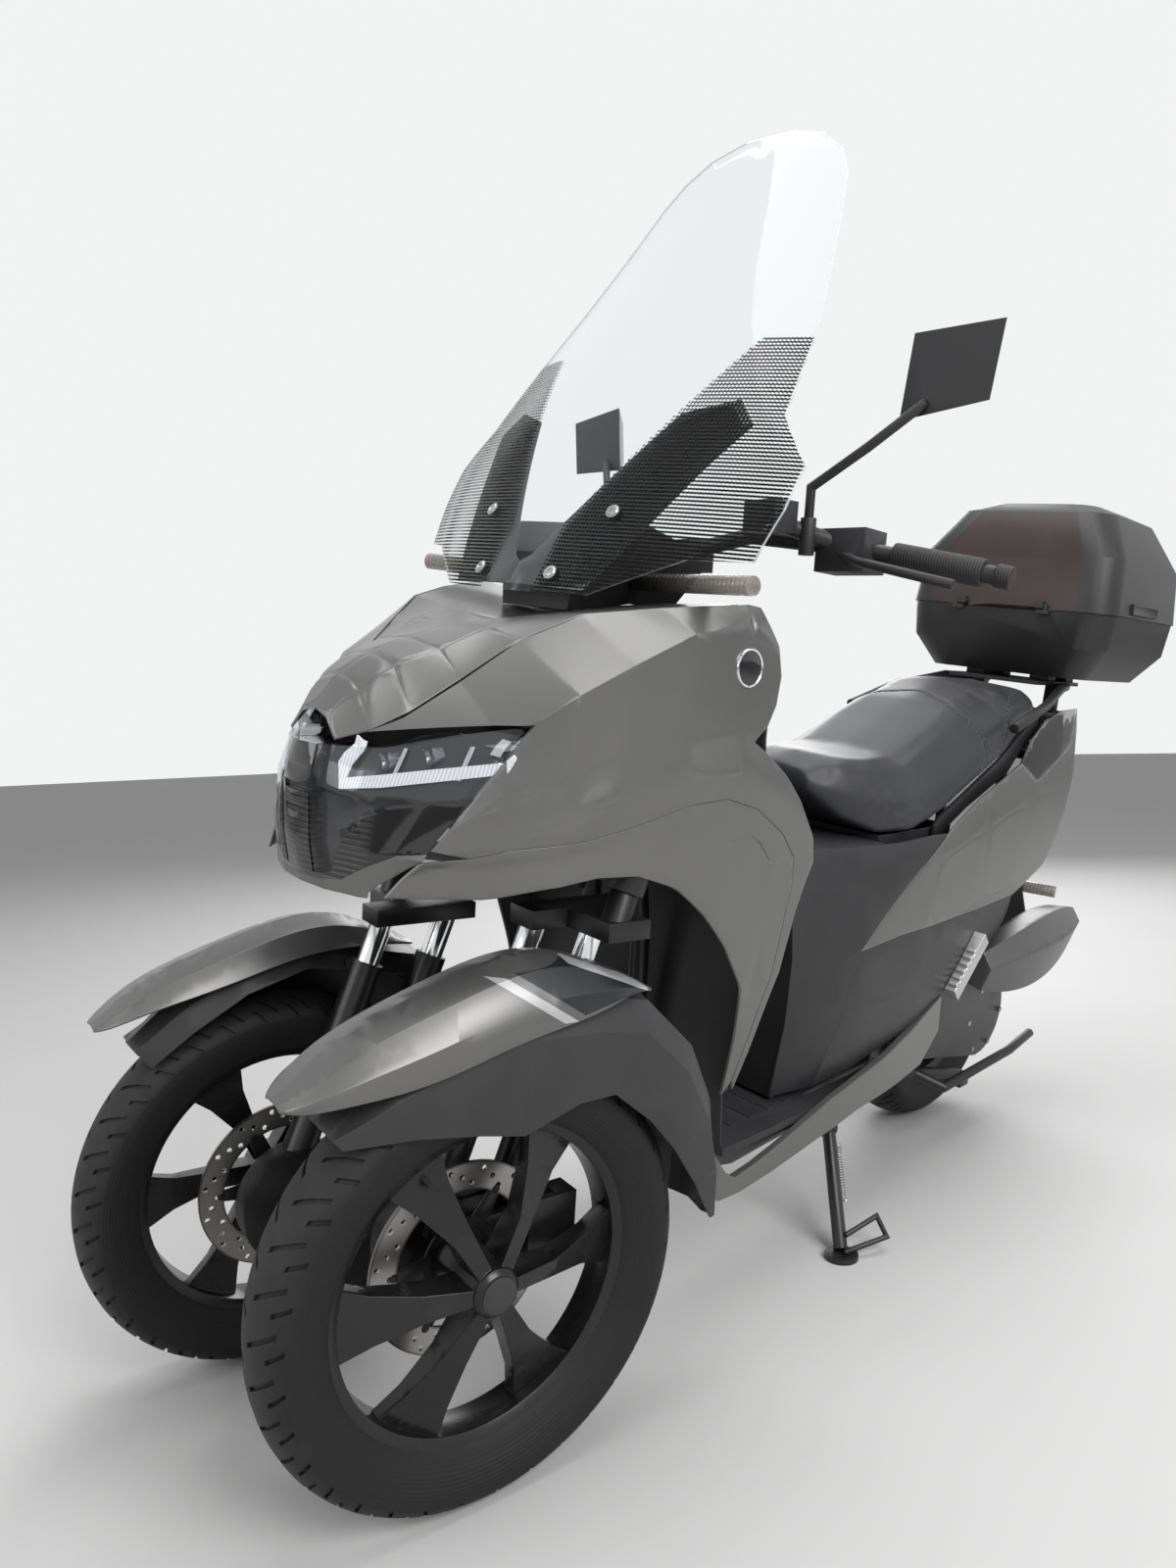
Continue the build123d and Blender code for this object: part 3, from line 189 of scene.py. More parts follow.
def softened(obj, width, segments=2, angle=40, **settings):
    useModifier(obj, "BEVEL", width=width, segments=segments, limit_method="ANGLE",
                angle_limit=math.radians(angle), use_clamp_overlap=True, **settings)
    return obj


def traceLine(name, points):
    # a run of edges, extruded from point to point
    clearPicks()
    bpy.ops.mesh.primitive_plane_add(size=1)
    obj = bpy.context.object
    obj.name = name
    editAll(obj)
    bpy.ops.mesh.merge(type="CENTER")
    bpy.ops.transform.translate(value=Vector(points[0]))
    for here, there in zip(points, points[1:]):
        step = Vector(there) - Vector(here)
        bpy.ops.mesh.extrude_region_move(TRANSFORM_OT_translate={"value": step})
    leaveEdit()
    return obj


def spinLine(name, points, steps=48, axis=(0, 1, 0)):
    # a turned piece: its profile closes on itself or starts and ends on the axis
    obj = traceLine(name, points)
    editAll(obj)
    bpy.ops.mesh.spin(steps=steps, angle=2 * math.pi, center=(0, 0, 0), axis=axis)
    closeShell(obj)
    return obj


def turnedOnY(name, profile, steps):
    # a turned piece from (radius, y) pairs
    return spinLine(name, [(radius, y, 0) for radius, y in profile], steps)


def plateFrom(name, points, push):
    # a flat plate: a closed outline is filled and extruded
    obj = traceLine(name, list(points) + [points[0]])
    editAll(obj)
    bpy.ops.mesh.remove_doubles(threshold=0.001)
    bpy.ops.mesh.edge_face_add()
    bpy.ops.mesh.extrude_region_move(TRANSFORM_OT_translate={"value": Vector(push)})
    closeShell(obj, 0.001)
    return obj


def joinAll(name, objs):
    pickOnly(*objs)
    bpy.ops.object.join()
    objs[0].name = name
    return objs[0]


def bridgeLines(name, lines, cuts):
    # a skin of quads between two runs of edges
    obj = joinAll(name, [traceLine(name, line) for line in lines])
    editAll(obj, "EDGE")
    bpy.ops.mesh.bridge_edge_loops()
    bpy.ops.mesh.select_all(action="SELECT")
    bpy.ops.mesh.subdivide(number_cuts=cuts)
    leaveEdit()
    return obj


def smoothPiece(obj, degrees):
    pickOnly(obj)
    bpy.ops.object.shade_smooth_by_angle(angle=math.radians(degrees))


def dress(obj, finish, replaced=(), body="chassis"):
    obj.data.materials.clear()
    for one in (finish if isinstance(finish, list) else [finish]):
        obj.data.materials.append(one)
    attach(obj, body)
    if replaced:
        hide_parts(*replaced)


def settle(obj, finish, slotName, degrees=30, replaced=(), place=bodyPlace, body="chassis"):
    # brings a drawn piece to its real place and size, and dresses it
    pickOnly(obj)
    bpy.ops.object.transform_apply(location=True, rotation=True, scale=True)
    full = Matrix.Scale(0.001, 4) @ place
    obj.data.transform(full)
    if full.determinant() < 0:
        obj.data.flip_normals()
    smoothPiece(obj, degrees)
    dress(obj, finish, replaced, body)


# Shader expressions

class Signal:
    # one socket's value, so that sums and masks read as they are written
    def __init__(self, finish, socket):
        self.finish = finish
        self.socket = socket

    def calc(self, operation, *others):
        values = dict(enumerate((self, *others)))
        return self.finish.node("ShaderNodeMath", {"operation": operation}, values)

    def __add__(self, other):
        return self.calc("ADD", other)

    def __sub__(self, other):
        return self.calc("SUBTRACT", other)

    def __rsub__(self, other):
        return self * -1 + other

    def __mul__(self, other):
        return self.calc("MULTIPLY", other)

    def __truediv__(self, other):
        return self.calc("DIVIDE", other)

    def __gt__(self, other):
        return self.calc("GREATER_THAN", other)

    def __lt__(self, other):
        return self.calc("LESS_THAN", other)

    def soft(self, low, high):
        # 0 below low, 1 above high, smooth between
        return self.finish.node("ShaderNodeMapRange", {"interpolation_type": "SMOOTHSTEP", "clamp": True},
                                {"Value": self, "From Min": low, "From Max": high})

    __radd__ = __add__
    __rmul__ = __mul__


flakeScale = 3200


class Finish:
    # one material: a main shader and the nodes that feed it
    def __init__(self, name, **constants):
        self.material = bpy.data.materials.new(name)
        self.material.use_nodes = True
        self.nodes = self.material.node_tree.nodes
        self.links = self.material.node_tree.links
        self.shader = self.nodes["Principled BSDF"]
        self.output = self.nodes["Material Output"]
        self.put(self.shader, {key.replace("_", " "): value for key, value in constants.items()})

    def put(self, node, sockets):
        for key, value in sockets.items():
            target = node.inputs[key]
            if isinstance(value, Signal):
                self.links.new(value.socket, target)
            elif hasattr(target.default_value, "__len__") and len(value) == 3 \
                    and len(target.default_value) == 4:
                target.default_value = (*value, 1)
            else:
                target.default_value = value

    def node(self, kind, settings=None, sockets=None, output=0):
        made = self.nodes.new(kind)
        for key, value in (settings or {}).items():
            setattr(made, key, value)
        self.put(made, sockets or {})
        return Signal(self, made.outputs[output])

    def where(self, place=None):
        # object coordinates, in metres, or in the millimetres of a drawing
        raw = self.node("ShaderNodeTexCoord", output="Object")
        if place is None:
            return raw
        back = place.inverted()
        return self.node("ShaderNodeMapping", {"vector_type": "POINT"}, {
            "Vector": raw, "Location": back.translation, "Rotation": back.to_euler("XYZ"),
            "Scale": (1000, 1000, 1000)})

    def axes(self, vector):
        parts = self.node("ShaderNodeSeparateXYZ", {}, {0: vector})
        outputs = parts.socket.node.outputs
        return [Signal(self, outputs[i]) for i in range(3)]

    def noise(self, vector, scale, detail=2, roughness=0.5):
        return self.node("ShaderNodeTexNoise", {}, {"Vector": vector, "Scale": scale, "Detail": detail,
                                                    "Roughness": roughness})

    def cells(self, vector, scale):
        return self.node("ShaderNodeTexVoronoi", {}, {"Vector": vector, "Scale": scale})

    def blendColors(self, mask, low, high):
        return self.node("ShaderNodeMix", {"data_type": "RGBA"}, {0: mask, 6: low, 7: high}, output=2)

    def shades(self, mask, tone, low, high):
        # a tone at two levels
        return self.blendColors(mask, [c * low for c in tone], [c * high for c in tone])

    def flakes(self, spot):
        # one random level for each flake of a metallic paint
        cell = self.node("ShaderNodeTexVoronoi", {}, {"Vector": spot, "Scale": flakeScale}, output="Position")
        return self.node("ShaderNodeTexWhiteNoise", {}, {"Vector": cell})

    def bump(self, height, strength, distance):
        made = self.node("ShaderNodeBump", {}, {"Height": height, "Strength": strength, "Distance": distance})
        self.put(self.shader, {"Normal": made})

    def use(self, **inputs):
        self.put(self.shader, {key.replace("_", " "): value for key, value in inputs.items()})
        return self.material


# Finishes

def grainedPlastic(name, tone, roughness=0.5, grain=1700, depth=0.25):
    # moulded plastic with a fine leather-like texture
    finish = Finish(name, Specular_IOR_Level=0.4)
    spot = finish.where()
    pebbles = finish.cells(spot, grain)
    cloud = finish.noise(spot, 9)
    finish.bump(pebbles, depth, 0.0002)
    shade = finish.shades(cloud.soft(0.3, 0.7), tone, 0.85, 1.15)
    return finish.use(Base_Color=shade, Roughness=cloud * 0.1 + (roughness - 0.05))


def satinPaint(name, tone, metallic, roughness, coat=0.12, flake=0.12):
    # satin paint with a fine metal flake under a dull coat
    finish = Finish(name, Coat_Weight=coat, Coat_Roughness=0.3)
    spot = finish.where()
    grains = finish.flakes(spot)
    cloud = finish.noise(spot, 5, 3)
    shade = finish.shades(grains * 0.6 + cloud.soft(0.3, 0.7) * 0.4, tone, 1 - flake, 1 + flake)
    finish.bump(finish.cells(spot, flakeScale), 0.04, 0.0001)
    return finish.use(Base_Color=shade, Metallic=grains * 0.1 + (metallic - 0.05),
                      Roughness=cloud * 0.08 + (roughness - 0.04))


def satinMetal(name, tone, metallic=0.3, roughness=0.4, wear=0.5):
    # painted or bare metal with slight clouding and handling marks
    finish = Finish(name)
    spot = finish.where()
    cloud = finish.noise(spot, 22, 4, 0.6)
    fine = finish.noise(spot, 900, 2)
    shade = finish.shades(cloud.soft(0.35, 0.7), tone, 1 - 0.25 * wear, 1 + 0.35 * wear)
    finish.bump(fine, 0.12, 0.0002)
    return finish.use(Base_Color=shade, Metallic=cloud * 0.1 + (metallic - 0.05),
                      Roughness=cloud * 0.16 + (roughness - 0.08))


def glossPlastic(name, tone, roughness=0.1):
    finish = Finish(name, Coat_Weight=0.6, Coat_Roughness=0.04)
    smear = finish.noise(finish.where(), 30, 3)
    shade = finish.shades(smear, tone, 0.8, 1.25)
    return finish.use(Base_Color=shade, Roughness=smear * 0.06 + (roughness - 0.02))


def castMetal(name, tone, roughness=0.45):
    # sand-cast alloy: a pebbled skin, duller in its hollows
    finish = Finish(name)
    spot = finish.where()
    pits = finish.noise(spot, 520, 3)
    cloud = finish.noise(spot, 18, 3)
    finish.bump(pits, 0.35, 0.0004)
    shade = finish.shades(cloud, tone, 0.75, 1.1)
    return finish.use(Base_Color=shade, Metallic=cloud * 0.2 + 0.7, Roughness=pits * 0.2 + (roughness - 0.1))


def clearSkin(finish, tint, gloss, most, least):
    # seen through straight on, shining at an angle
    clear = finish.node("ShaderNodeBsdfTransparent", {}, {"Color": tint})
    shine = finish.node("ShaderNodeBsdfGlossy", {}, {"Roughness": gloss, "Color": (1, 1, 1)})
    rim = finish.node("ShaderNodeLayerWeight", {}, {"Blend": 0.5}, output=1)
    share = rim.calc("POWER", 4) * most + least
    return finish.node("ShaderNodeMixShader", {}, {0: share, 1: clear, 2: shine})


def lampLens(name, tone, alpha):
    # coloured clear plastic with moulded flutes
    finish = Finish(name, Coat_Weight=0.8, Coat_Roughness=0.03)
    x, y, z = finish.axes(finish.where(bodyPlace))
    flutes = (y * 0.9).calc("SINE")
    finish.bump(flutes, 0.3, 0.0006)
    shade = finish.shades(flutes * 0.5 + 0.5, tone, 0.7, 1)
    return finish.use(Base_Color=shade, Roughness=flutes * 0.03 + 0.08, Alpha=flutes * 0.05 + alpha)


titanium = (0.136, 0.134, 0.132)
finishes = {
    "bodyPaint": satinPaint("titanium_satin", titanium, 0.5, 0.34, 0.3),
    "glossBlack": glossPlastic("gloss_black", (0.009, 0.009, 0.011)),
    "blackPlastic": grainedPlastic("black_grained", (0.022, 0.022, 0.024)),
    "darkPlastic": grainedPlastic("dark_satin_plastic", (0.03, 0.03, 0.032), 0.42, 2400, 0.12),
    "frameBlack": satinMetal("frame_black_paint", (0.016, 0.016, 0.017), 0.2, 0.4),
    "forkBlack": satinMetal("fork_black_paint", (0.014, 0.014, 0.015), 0.3, 0.34),
    "rimBlack": satinMetal("rim_black_paint", (0.012, 0.012, 0.013), 0.25, 0.27, 0.3),
    "engineDark": castMetal("engine_dark_alloy", (0.06, 0.06, 0.062), 0.5),
    "chrome": satinMetal("fork_chrome", (0.78, 0.79, 0.8), 0.98, 0.12, 0.1),
    "steel": satinMetal("zinc_steel", (0.42, 0.42, 0.42), 0.95, 0.3, 0.5),
    "pegAlloy": castMetal("peg_alloy", (0.62, 0.62, 0.62), 0.35),
    "silencer": satinMetal("silencer_black", (0.02, 0.02, 0.02), 0.3, 0.5),
    "caseGrey": satinPaint("case_grey", (0.1, 0.1, 0.1), 0.35, 0.4),
    "rubber": grainedPlastic("soft_rubber", (0.013, 0.013, 0.013), 0.7, 900, 0.3),
    "boxBlack": grainedPlastic("box_grained", (0.02, 0.02, 0.021), 0.42, 1500, 0.22),
    "redLens": lampLens("red_lens", (0.32, 0.008, 0.006), 0.95),
    "smokedLens": lampLens("smoked_lens", (0.3, 0.26, 0.22), 0.75),
    "lampGlass": satinMetal("lamp_eye_metal", (0.35, 0.36, 0.4), 0.9, 0.2, 0.2),
    "lampBowl": glossPlastic("lamp_bowl_dark", (0.02, 0.02, 0.023), 0.18),
    "boxPanel": grainedPlastic("box_panel_brown", (0.03, 0.0165, 0.016), 0.36, 1500, 0.1),
    "mirrorGlass": satinMetal("mirror_silver", (0.8, 0.82, 0.84), 0.97, 0.08, 0.05),
    "display": glossPlastic("display_glass", (0.012, 0.014, 0.017), 0.06),
}
print("finishes mixed:", len(finishes))

# Dressing of the drawn panels: node, finish, record slot, edge radius in mm, smoothing in degrees
dressing = [
    ("frame", "frameBlack", "frame_black", 0, 35),
    ("lean_linkage", "frameBlack", "frame_black", 1.2, 30),
    ("nose_panel", "bodyPaint", "body_paint", 1.0, 42),
    ("nose_mask", "glossBlack", "gloss_black", 0.8, 24),
    ("chin_panel", "bodyPaint", "black_plastic", 1.0, 42),
    ("side_cowls", "bodyPaint", "body_paint", 1.0, 42),
    ("lower_fairings", "bodyPaint", "body_paint", 1.0, 42),
    ("inner_shield", "blackPlastic", "black_plastic", 1.0, 42),
    ("instrument_panel", "blackPlastic", "black_plastic", 3.0, 24),
    ("floorboard", "blackPlastic", "black_plastic", 0.6, 24),
    ("floor_trims", "bodyPaint", "body_paint", 1.6, 24),
    ("under_cowl", "blackPlastic", "black_plastic", 1.0, 24),
    ("rear_cowls", "bodyPaint", "body_paint", 1.0, 42),
    ("tail_panels", "glossBlack", "gloss_black", 0.8, 42),
    ("centre_cover", "blackPlastic", "black_plastic", 0.8, 24),
    ("lower_covers", "darkPlastic", "black_plastic", 0.8, 42),
    ("tail_lamp", "redLens", "lamp_red", 1.2, 24),
    ("seat_bucket", "blackPlastic", "black_plastic", 1.0, 24),
    ("rack", "frameBlack", "rack_black", 1.2, 30),
    ("rear_fender", "blackPlastic", "black_plastic", 0.8, 24),
    ("engine_block", "engineDark", "engine_alloy", 3.0, 24),
    ("belt_case", "darkPlastic", "black_plastic", 5.0, 30),
    ("air_cleaner", "caseGrey", "case_grey", 2.0, 40),
    ("muffler", "silencer", "muffler_black", 1.5, 30),
    ("rear_shocks", "steel", "shock_steel", 0.6, 30),
    ("signals", "blackPlastic", "black_plastic", 1.0, 30),
    ("pillion_pegs", "pegAlloy", "peg_alloy", 1.2, 24),
    ("side_stand", "frameBlack", "frame_black", 0.8, 30),
    ("centre_stand", "frameBlack", "frame_black", 0.8, 30),
    ("box_base", "boxBlack", "box_black", 1.5, 24),
    ("box_lid", "boxBlack", "box_black", 1.5, 24),
    ("handlebar", "frameBlack", "bar_black", 0.8, 30),
    ("grips", "rubber", "grip_rubber", 1.5, 30),
    ("controls", "blackPlastic", "black_plastic", 2.5, 30),
    ("mirrors", "blackPlastic", "black_plastic", 2.0, 30),
    ("rear_rim", "rimBlack", "rim_black", 1.5, 28),
]
for side in sideSign:
    dressing += [
        ("fork_" + side, "forkBlack", "fork_black", 1.2, 30),
        ("fender_crown_" + side, "bodyPaint", "body_paint", 0.6, 40),
        ("fender_skirt_" + side, "darkPlastic", "fender_dark", 0.6, 30),
        ("front_rim_" + side, "rimBlack", "rim_black", 1.5, 28),
    ]

# Panels whose flat facets are drawn out into one flowing surface: levels of division, rounds of smoothing
flowing = {"nose_panel": (2, 60), "side_cowls": (2, 60), "lower_fairings": (2, 60), "rear_cowls": (2, 60),
           "chin_panel": (2, 20), "tail_panels": (2, 16), "air_cleaner": (2, 14)}


def easePanel(obj, levels, rounds):
    # rims are softened first and then held, while the faces between them flow
    obj.data.materials.clear()
    for i in range(2):
        obj.data.materials.append(finishes["steel"])
    softened(obj, 0.001, 2, 52, material=1)
    useModifier(obj, "TRIANGULATE", min_vertices=4)
    useModifier(obj, "SUBSURF", subdivision_type="SIMPLE", levels=levels, render_levels=levels)
    held = set()
    for face in obj.data.polygons:
        if face.material_index:
            held.update(face.vertices)
            face.material_index = 0
    free = [v.index for v in obj.data.vertices if v.index not in held]
    obj.vertex_groups.new(name="flow").add(free, 1, "ADD")
    useModifier(obj, "SMOOTH", factor=0.5, iterations=rounds, vertex_group="flow")
    obj.vertex_groups.clear()


def dressNode(node, finish, slotName, edge, degrees):
    # a merged copy of the drawn node with softened edges
    obj = copyOfNode(node, node + "_dressed")
    editAll(obj)
    bpy.ops.mesh.remove_doubles(threshold=0.00001)
    if edge:
        bpy.ops.mesh.dissolve_limited(angle_limit=math.radians(0.05))
    leaveEdit()
    if node in flowing:
        easePanel(obj, *flowing[node])
    elif edge:
        softened(obj, edge * 0.001, 2, 32)
    smoothPiece(obj, degrees)
    dress(obj, finish, [node], body_of(frame["nodes"][node])[0])
    return obj


dressed = {node: dressNode(node, finishes[key], *rest) for node, key, *rest in dressing}
print("dressed", len(dressed), "nodes")

# Windscreen

screen = {"edge": 0.15, "dotPitch": 4.6, "dotSize": 1.45, "fieldAt": (120, 1242), "fieldSlope": 1.93,
          "fieldTop": 1338, "fieldInside": 45}


def clearScreen():
    # thin clear sheet: reflection by angle, a faint tint, and a fading dot print beside the dark plate
    finish = Finish("clear_sheet")
    skin = clearSkin(finish, (0.97, 0.98, 0.98), 0.02, 0.2, 0.01)
    x, y, z = finish.axes(finish.where(bodyPlace))
    across = y.calc("ABSOLUTE")
    cellY = (across / screen["dotPitch"]).calc("FRACT") - 0.5
    cellZ = (z / screen["dotPitch"]).calc("FRACT") - 0.5
    spread = (cellY * cellY + cellZ * cellZ).calc("SQRT") * screen["dotPitch"]
    # the printed field: above the foot, outside a slanting line, up to a level edge
    field = (z < (across - screen["fieldAt"][0]) * screen["fieldSlope"] + screen["fieldAt"][1]) \
        * (z < screen["fieldTop"]) * (across > screen["fieldInside"])
    dot = (spread < screen["dotSize"]) * field
    ink = finish.node("ShaderNodeBsdfDiffuse", {}, {"Color": (0.01, 0.01, 0.01)})
    whole = finish.node("ShaderNodeMixShader", {}, {0: dot, 1: skin, 2: ink})
    finish.put(finish.output, {"Surface": whole})
    return finish.material


def screenRimPaintedGlint():
    # pale edge: a painted highlight standing in for the bright glint along the sheet's rim
    finish = Finish("sheet_edge_painted_glint", Coat_Weight=0.5)
    grain = finish.noise(finish.where(), 300)
    shade = finish.blendColors(grain, (0.5, 0.53, 0.54), (0.75, 0.78, 0.78))
    return finish.use(Base_Color=shade, Roughness=grain * 0.2 + 0.15, Alpha=grain * 0.1 + 0.6)


sheet = dressNode("windscreen", [clearScreen(), screenRimPaintedGlint()], "screen_clear", 0, 40)
# the edge faces take the pale painted highlight
for face in sheet.data.polygons:
    if abs(upright(face).x) < screen["edge"]:
        face.material_index = 1
print("windscreen glazed")

# Tyres

tyres = {
    "front": {"profile": [(176, 24), (183, 30), (200, 39), (215, 44), (228, 44.5), (238, 38), (245, 27),
                          (248.8, 14), (250, 0)],
              "pitches": 34, "rows": 46, "sweep": 1.5},
    "rear": {"profile": [(165, 38), (178, 46), (196, 57), (212, 63), (224, 63.5), (238, 53), (248, 38),
                         (254, 19), (256, 0)],
             "pitches": 32, "rows": 50, "sweep": 1.3},
    "depth": 3.6, "columns": 8, "groove": (0.05, 0.40), "shoulder": (0.30, 0.46),
}


def rubberTread(name, place):
    # black rubber: moulded rings on the walls, a dusty worn crown
    finish = Finish(name, Specular_IOR_Level=0.35)
    spot = finish.where(place)
    x, y, z = finish.axes(spot)
    reach = (x * x + z * z).calc("SQRT")
    wall = y.calc("ABSOLUTE").soft(26, 40)
    rings = ((reach * 1.6).calc("SINE") * wall) * (reach < 226)
    grit = finish.noise(spot, 0.9, 3)
    finish.bump(rings * 0.35 + grit * 0.4, 0.5, 0.0006)
    dust = finish.noise(spot, 0.03, 4) * 0.6 + (reach - 225) * 0.012
    shade = finish.blendColors(dust.soft(0.2, 0.9), (0.0075, 0.0075, 0.008), (0.026, 0.025, 0.024))
    return finish.use(Base_Color=shade, Roughness=grit * 0.12 + 0.6)


def alongProfile(points, share):
    # a point of the profile by its share of the length, with the outward direction
    runs = [math.dist(a, b) for a, b in zip(points, points[1:])]
    left = share * sum(runs)
    for (a, b), run in zip(zip(points, points[1:]), runs):
        if left <= run or (a, b) == (points[-2], points[-1]):
            part = left / run
            out = Vector((b[1] - a[1], a[0] - b[0])).normalized()
            return a[0] + (b[0] - a[0]) * part, a[1] + (b[1] - a[1]) * part, out
        left -= run


def makeTyre(side):
    spec = tyres["rear" if side == "rear" else "front"]
    half = spec["profile"]
    whole = half + [(r, -y) for r, y in half[-2::-1]]
    columns = spec["pitches"] * tyres["columns"]
    rows = spec["rows"]
    clearPicks()
    bpy.ops.mesh.primitive_grid_add(x_subdivisions=columns, y_subdivisions=rows, size=1)
    obj = bpy.context.object
    obj.name = "tyre_" + side

    def grooved(face):
        column = round((face.center.x + 0.5) * columns - 0.5)
        share = abs((face.center.y + 0.5) * rows - 0.5 - (rows - 1) / 2) / (rows / 2)
        step = (column + (4 if face.center.y < 0 else 0)) % tyres["columns"]
        return (step == 4 and tyres["groove"][0] < share < tyres["groove"][1]) \
            or (step == 0 and tyres["shoulder"][0] < share < tyres["shoulder"][1])

    pickFaces(obj, grooved)
    bpy.ops.mesh.extrude_region_move(TRANSFORM_OT_translate={"value": (0, 0, -1)})
    leaveEdit()
    # the flat strip is wound round the axle
    for vertex in obj.data.vertices:
        turn, across = vertex.co.x + 0.5, vertex.co.y + 0.5
        r, y, out = alongProfile(whole, across)
        sunk = -vertex.co.z * tyres["depth"]
        share = abs(across - 0.5) * 2
        angle = 2 * math.pi * (turn + spec["sweep"] * share / spec["pitches"])
        r, y = r + out.x * sunk, y + out.y * sunk
        vertex.co = (r * math.cos(angle), y, r * math.sin(angle))
    editAll(obj)
    bpy.ops.mesh.remove_doubles(threshold=0.02)
    bpy.ops.mesh.select_all(action="DESELECT")
    bpy.ops.mesh.select_non_manifold(extend=False)
    bpy.ops.mesh.bridge_edge_loops()
    closeShell(obj, 0.02)
    rubber = rubberTread("tyre_rubber_" + side, hubPlace(side))
    settle(obj, rubber, "tyre", 38, [wheelName("tyre", side)], wheelPlace(side), wheelName("wheel", side))


for side in wheelSides:
    makeTyre(side)
print("tyres treaded")

# Brake discs

discs = {
    "front": 110, "rear": 115, "bore": 78, "back": -38, "face": -34, "swept": (80, 108),
    # rows of holes: radius and turn, as a share of the step
    "holes": 30, "holeSize": 3.4, "rows": ((86, 0), (94, 0.33), (102, 0.66)),
    # carrier: bore and rim of its hub, arms from a radius and half width to another, rivets
    "hub": (14, 46), "arms": 6, "arm": ((40, 13), (82, 7)), "rivet": (5, 81),
}


def groundSteel(name, place):
    # brake disc steel with fine turned rings
    finish = Finish(name, Metallic=0.95)
    x, y, z = finish.axes(finish.where(place))
    reach = (x * x + z * z).calc("SQRT")
    rings = finish.noise(finish.node("ShaderNodeCombineXYZ", {}, {0: reach * 2.5}), 1, 2)
    swept = (reach > discs["swept"][0]) * (reach < discs["swept"][1])
    shade = finish.blendColors(swept * 0.7 + rings * 0.3, (0.14, 0.13, 0.125), (0.4, 0.39, 0.38))
    finish.bump(rings, 0.25, 0.0002)
    return finish.use(Base_Color=shade, Roughness=rings * 0.2 + 0.22)


def turnCopies(obj, count):
    # copies round the axle, joined to one piece
    copies = [obj]
    for i in range(1, count):
        copies.append(copyOf(obj))
        copies[i].data.transform(Matrix.Rotation(2 * math.pi * i / count, 4, "Y"))
    return joinAll(obj.name, copies)


def axleRod(name, radius, y0, y1, x=0, sides=16):
    # a short pin along the axle, or beside it
    clearPicks()
    bpy.ops.mesh.primitive_cylinder_add(vertices=sides, radius=radius, depth=abs(y1 - y0),
                                        location=(x, (y0 + y1) / 2, 0), rotation=(math.pi / 2, 0, 0))
    obj = bpy.context.object
    obj.name = name
    bpy.ops.object.transform_apply(location=True, rotation=True, scale=True)
    return obj


def makeDisc(side):
    radius, bore = discs["rear" if side == "rear" else "front"], discs["bore"]
    back, face = discs["back"], discs["face"]
    wheel = {"place": wheelPlace(side), "body": wheelName("wheel", side)}
    ring = turnedOnY("disc_ring_" + side, [(bore, face), (bore, back), (radius, back), (radius, face),
                                           (bore, face)], 96)
    drills = []
    for reach, shift in discs["rows"]:
        pin = axleRod("drill", discs["holeSize"], back - 2, face + 2, reach, 10)
        pin.data.transform(Matrix.Rotation(4 * math.pi * shift / discs["holes"], 4, "Y"))
        drills.append(turnCopies(pin, discs["holes"] // 2))
    cutter = joinAll("drills", drills)
    useModifier(ring, "BOOLEAN", operation="DIFFERENCE", object=cutter, solver="EXACT")
    bpy.data.objects.remove(cutter)
    steel = groundSteel("disc_steel_" + side, hubPlace(side))
    settle(ring, steel, "disc_steel", 30, [wheelName("disc", side)], **wheel)
    # dark carrier with arms and rivets, inside the ring
    back, face = back + 0.6, face - 0.4
    (near, nearHalf), (far, farHalf) = discs["arm"]
    bore, rim = discs["hub"]
    hub = turnedOnY("disc_hub", [(bore, face), (bore, back), (rim, back), (rim, face), (bore, face)], 48)
    low = back + 0.2
    outline = [(near, -nearHalf), (far, -farHalf), (far, farHalf), (near, nearHalf)]
    arm = plateFrom("disc_arm", [(x, low, z) for x, z in outline], (0, face - back - 0.4, 0))
    size, reach = discs["rivet"]
    rivet = axleRod("rivet", size, back - 1.2, face + 1, reach)
    around = [turnCopies(softened(one, 0.8), discs["arms"]) for one in (arm, rivet)]
    carrier = joinAll("disc_carrier_" + side, [hub] + around)
    settle(carrier, finishes["forkBlack"], "fork_black", **wheel)


for side in wheelSides:
    makeDisc(side)
print("discs drilled")

# Axle ends, hub caps and tyre valves

axles = {"outer": 48, "nut": 11, "washer": 17, "valveReach": 158, "valveTilt": -25, "valveTurn": 30}


def makeAxleEnds(side):
    wheel = {"place": wheelPlace(side), "body": wheelName("wheel", side)}
    outer, radius = axles["outer"], axles["washer"]
    if side == "rear":
        washer = turnedOnY("washer", [(0, outer), (radius, outer), (radius, outer + 2), (0, outer + 2)], 28)
        nut = softened(axleRod("nut", axles["nut"], outer + 2, outer + 8, 0, 6), 1.0)
        stub = softened(axleRod("stub", 6, outer + 8, outer + 10), 1.2)
        end = joinAll("axle_end_" + side, [washer, nut, stub])
        settle(end, finishes["steel"], "shock_steel", 35, **wheel)
    else:
        # radius and rise over the axle's end
        dome = [(0, -1), (20, -1), (20, 1), (17, 2.4), (9, 3.4), (0, 3.6)]
        cap = turnedOnY("hub_cap_" + side, [(radius, outer + rise) for radius, rise in dome], 36)
        settle(cap, finishes["darkPlastic"], "rim_black", 35, **wheel)
    # rubber valve, set in the well of the rim
    stem = turnedOnY("valve", [(0, 0), (4.2, 0), (3.4, 8), (3.4, 20), (2.6, 26), (0, 26)], 14)
    stem.data.transform(Matrix.Rotation(math.radians(axles["valveTurn"]), 4, "Y")
                        @ Matrix.Translation((0, 0, axles["valveReach"]))
                        @ Matrix.Rotation(math.radians(axles["valveTilt"]), 4, "X"))
    stem.name = "valve_" + side
    settle(stem, finishes["rubber"], "grip_rubber", 35, **wheel)


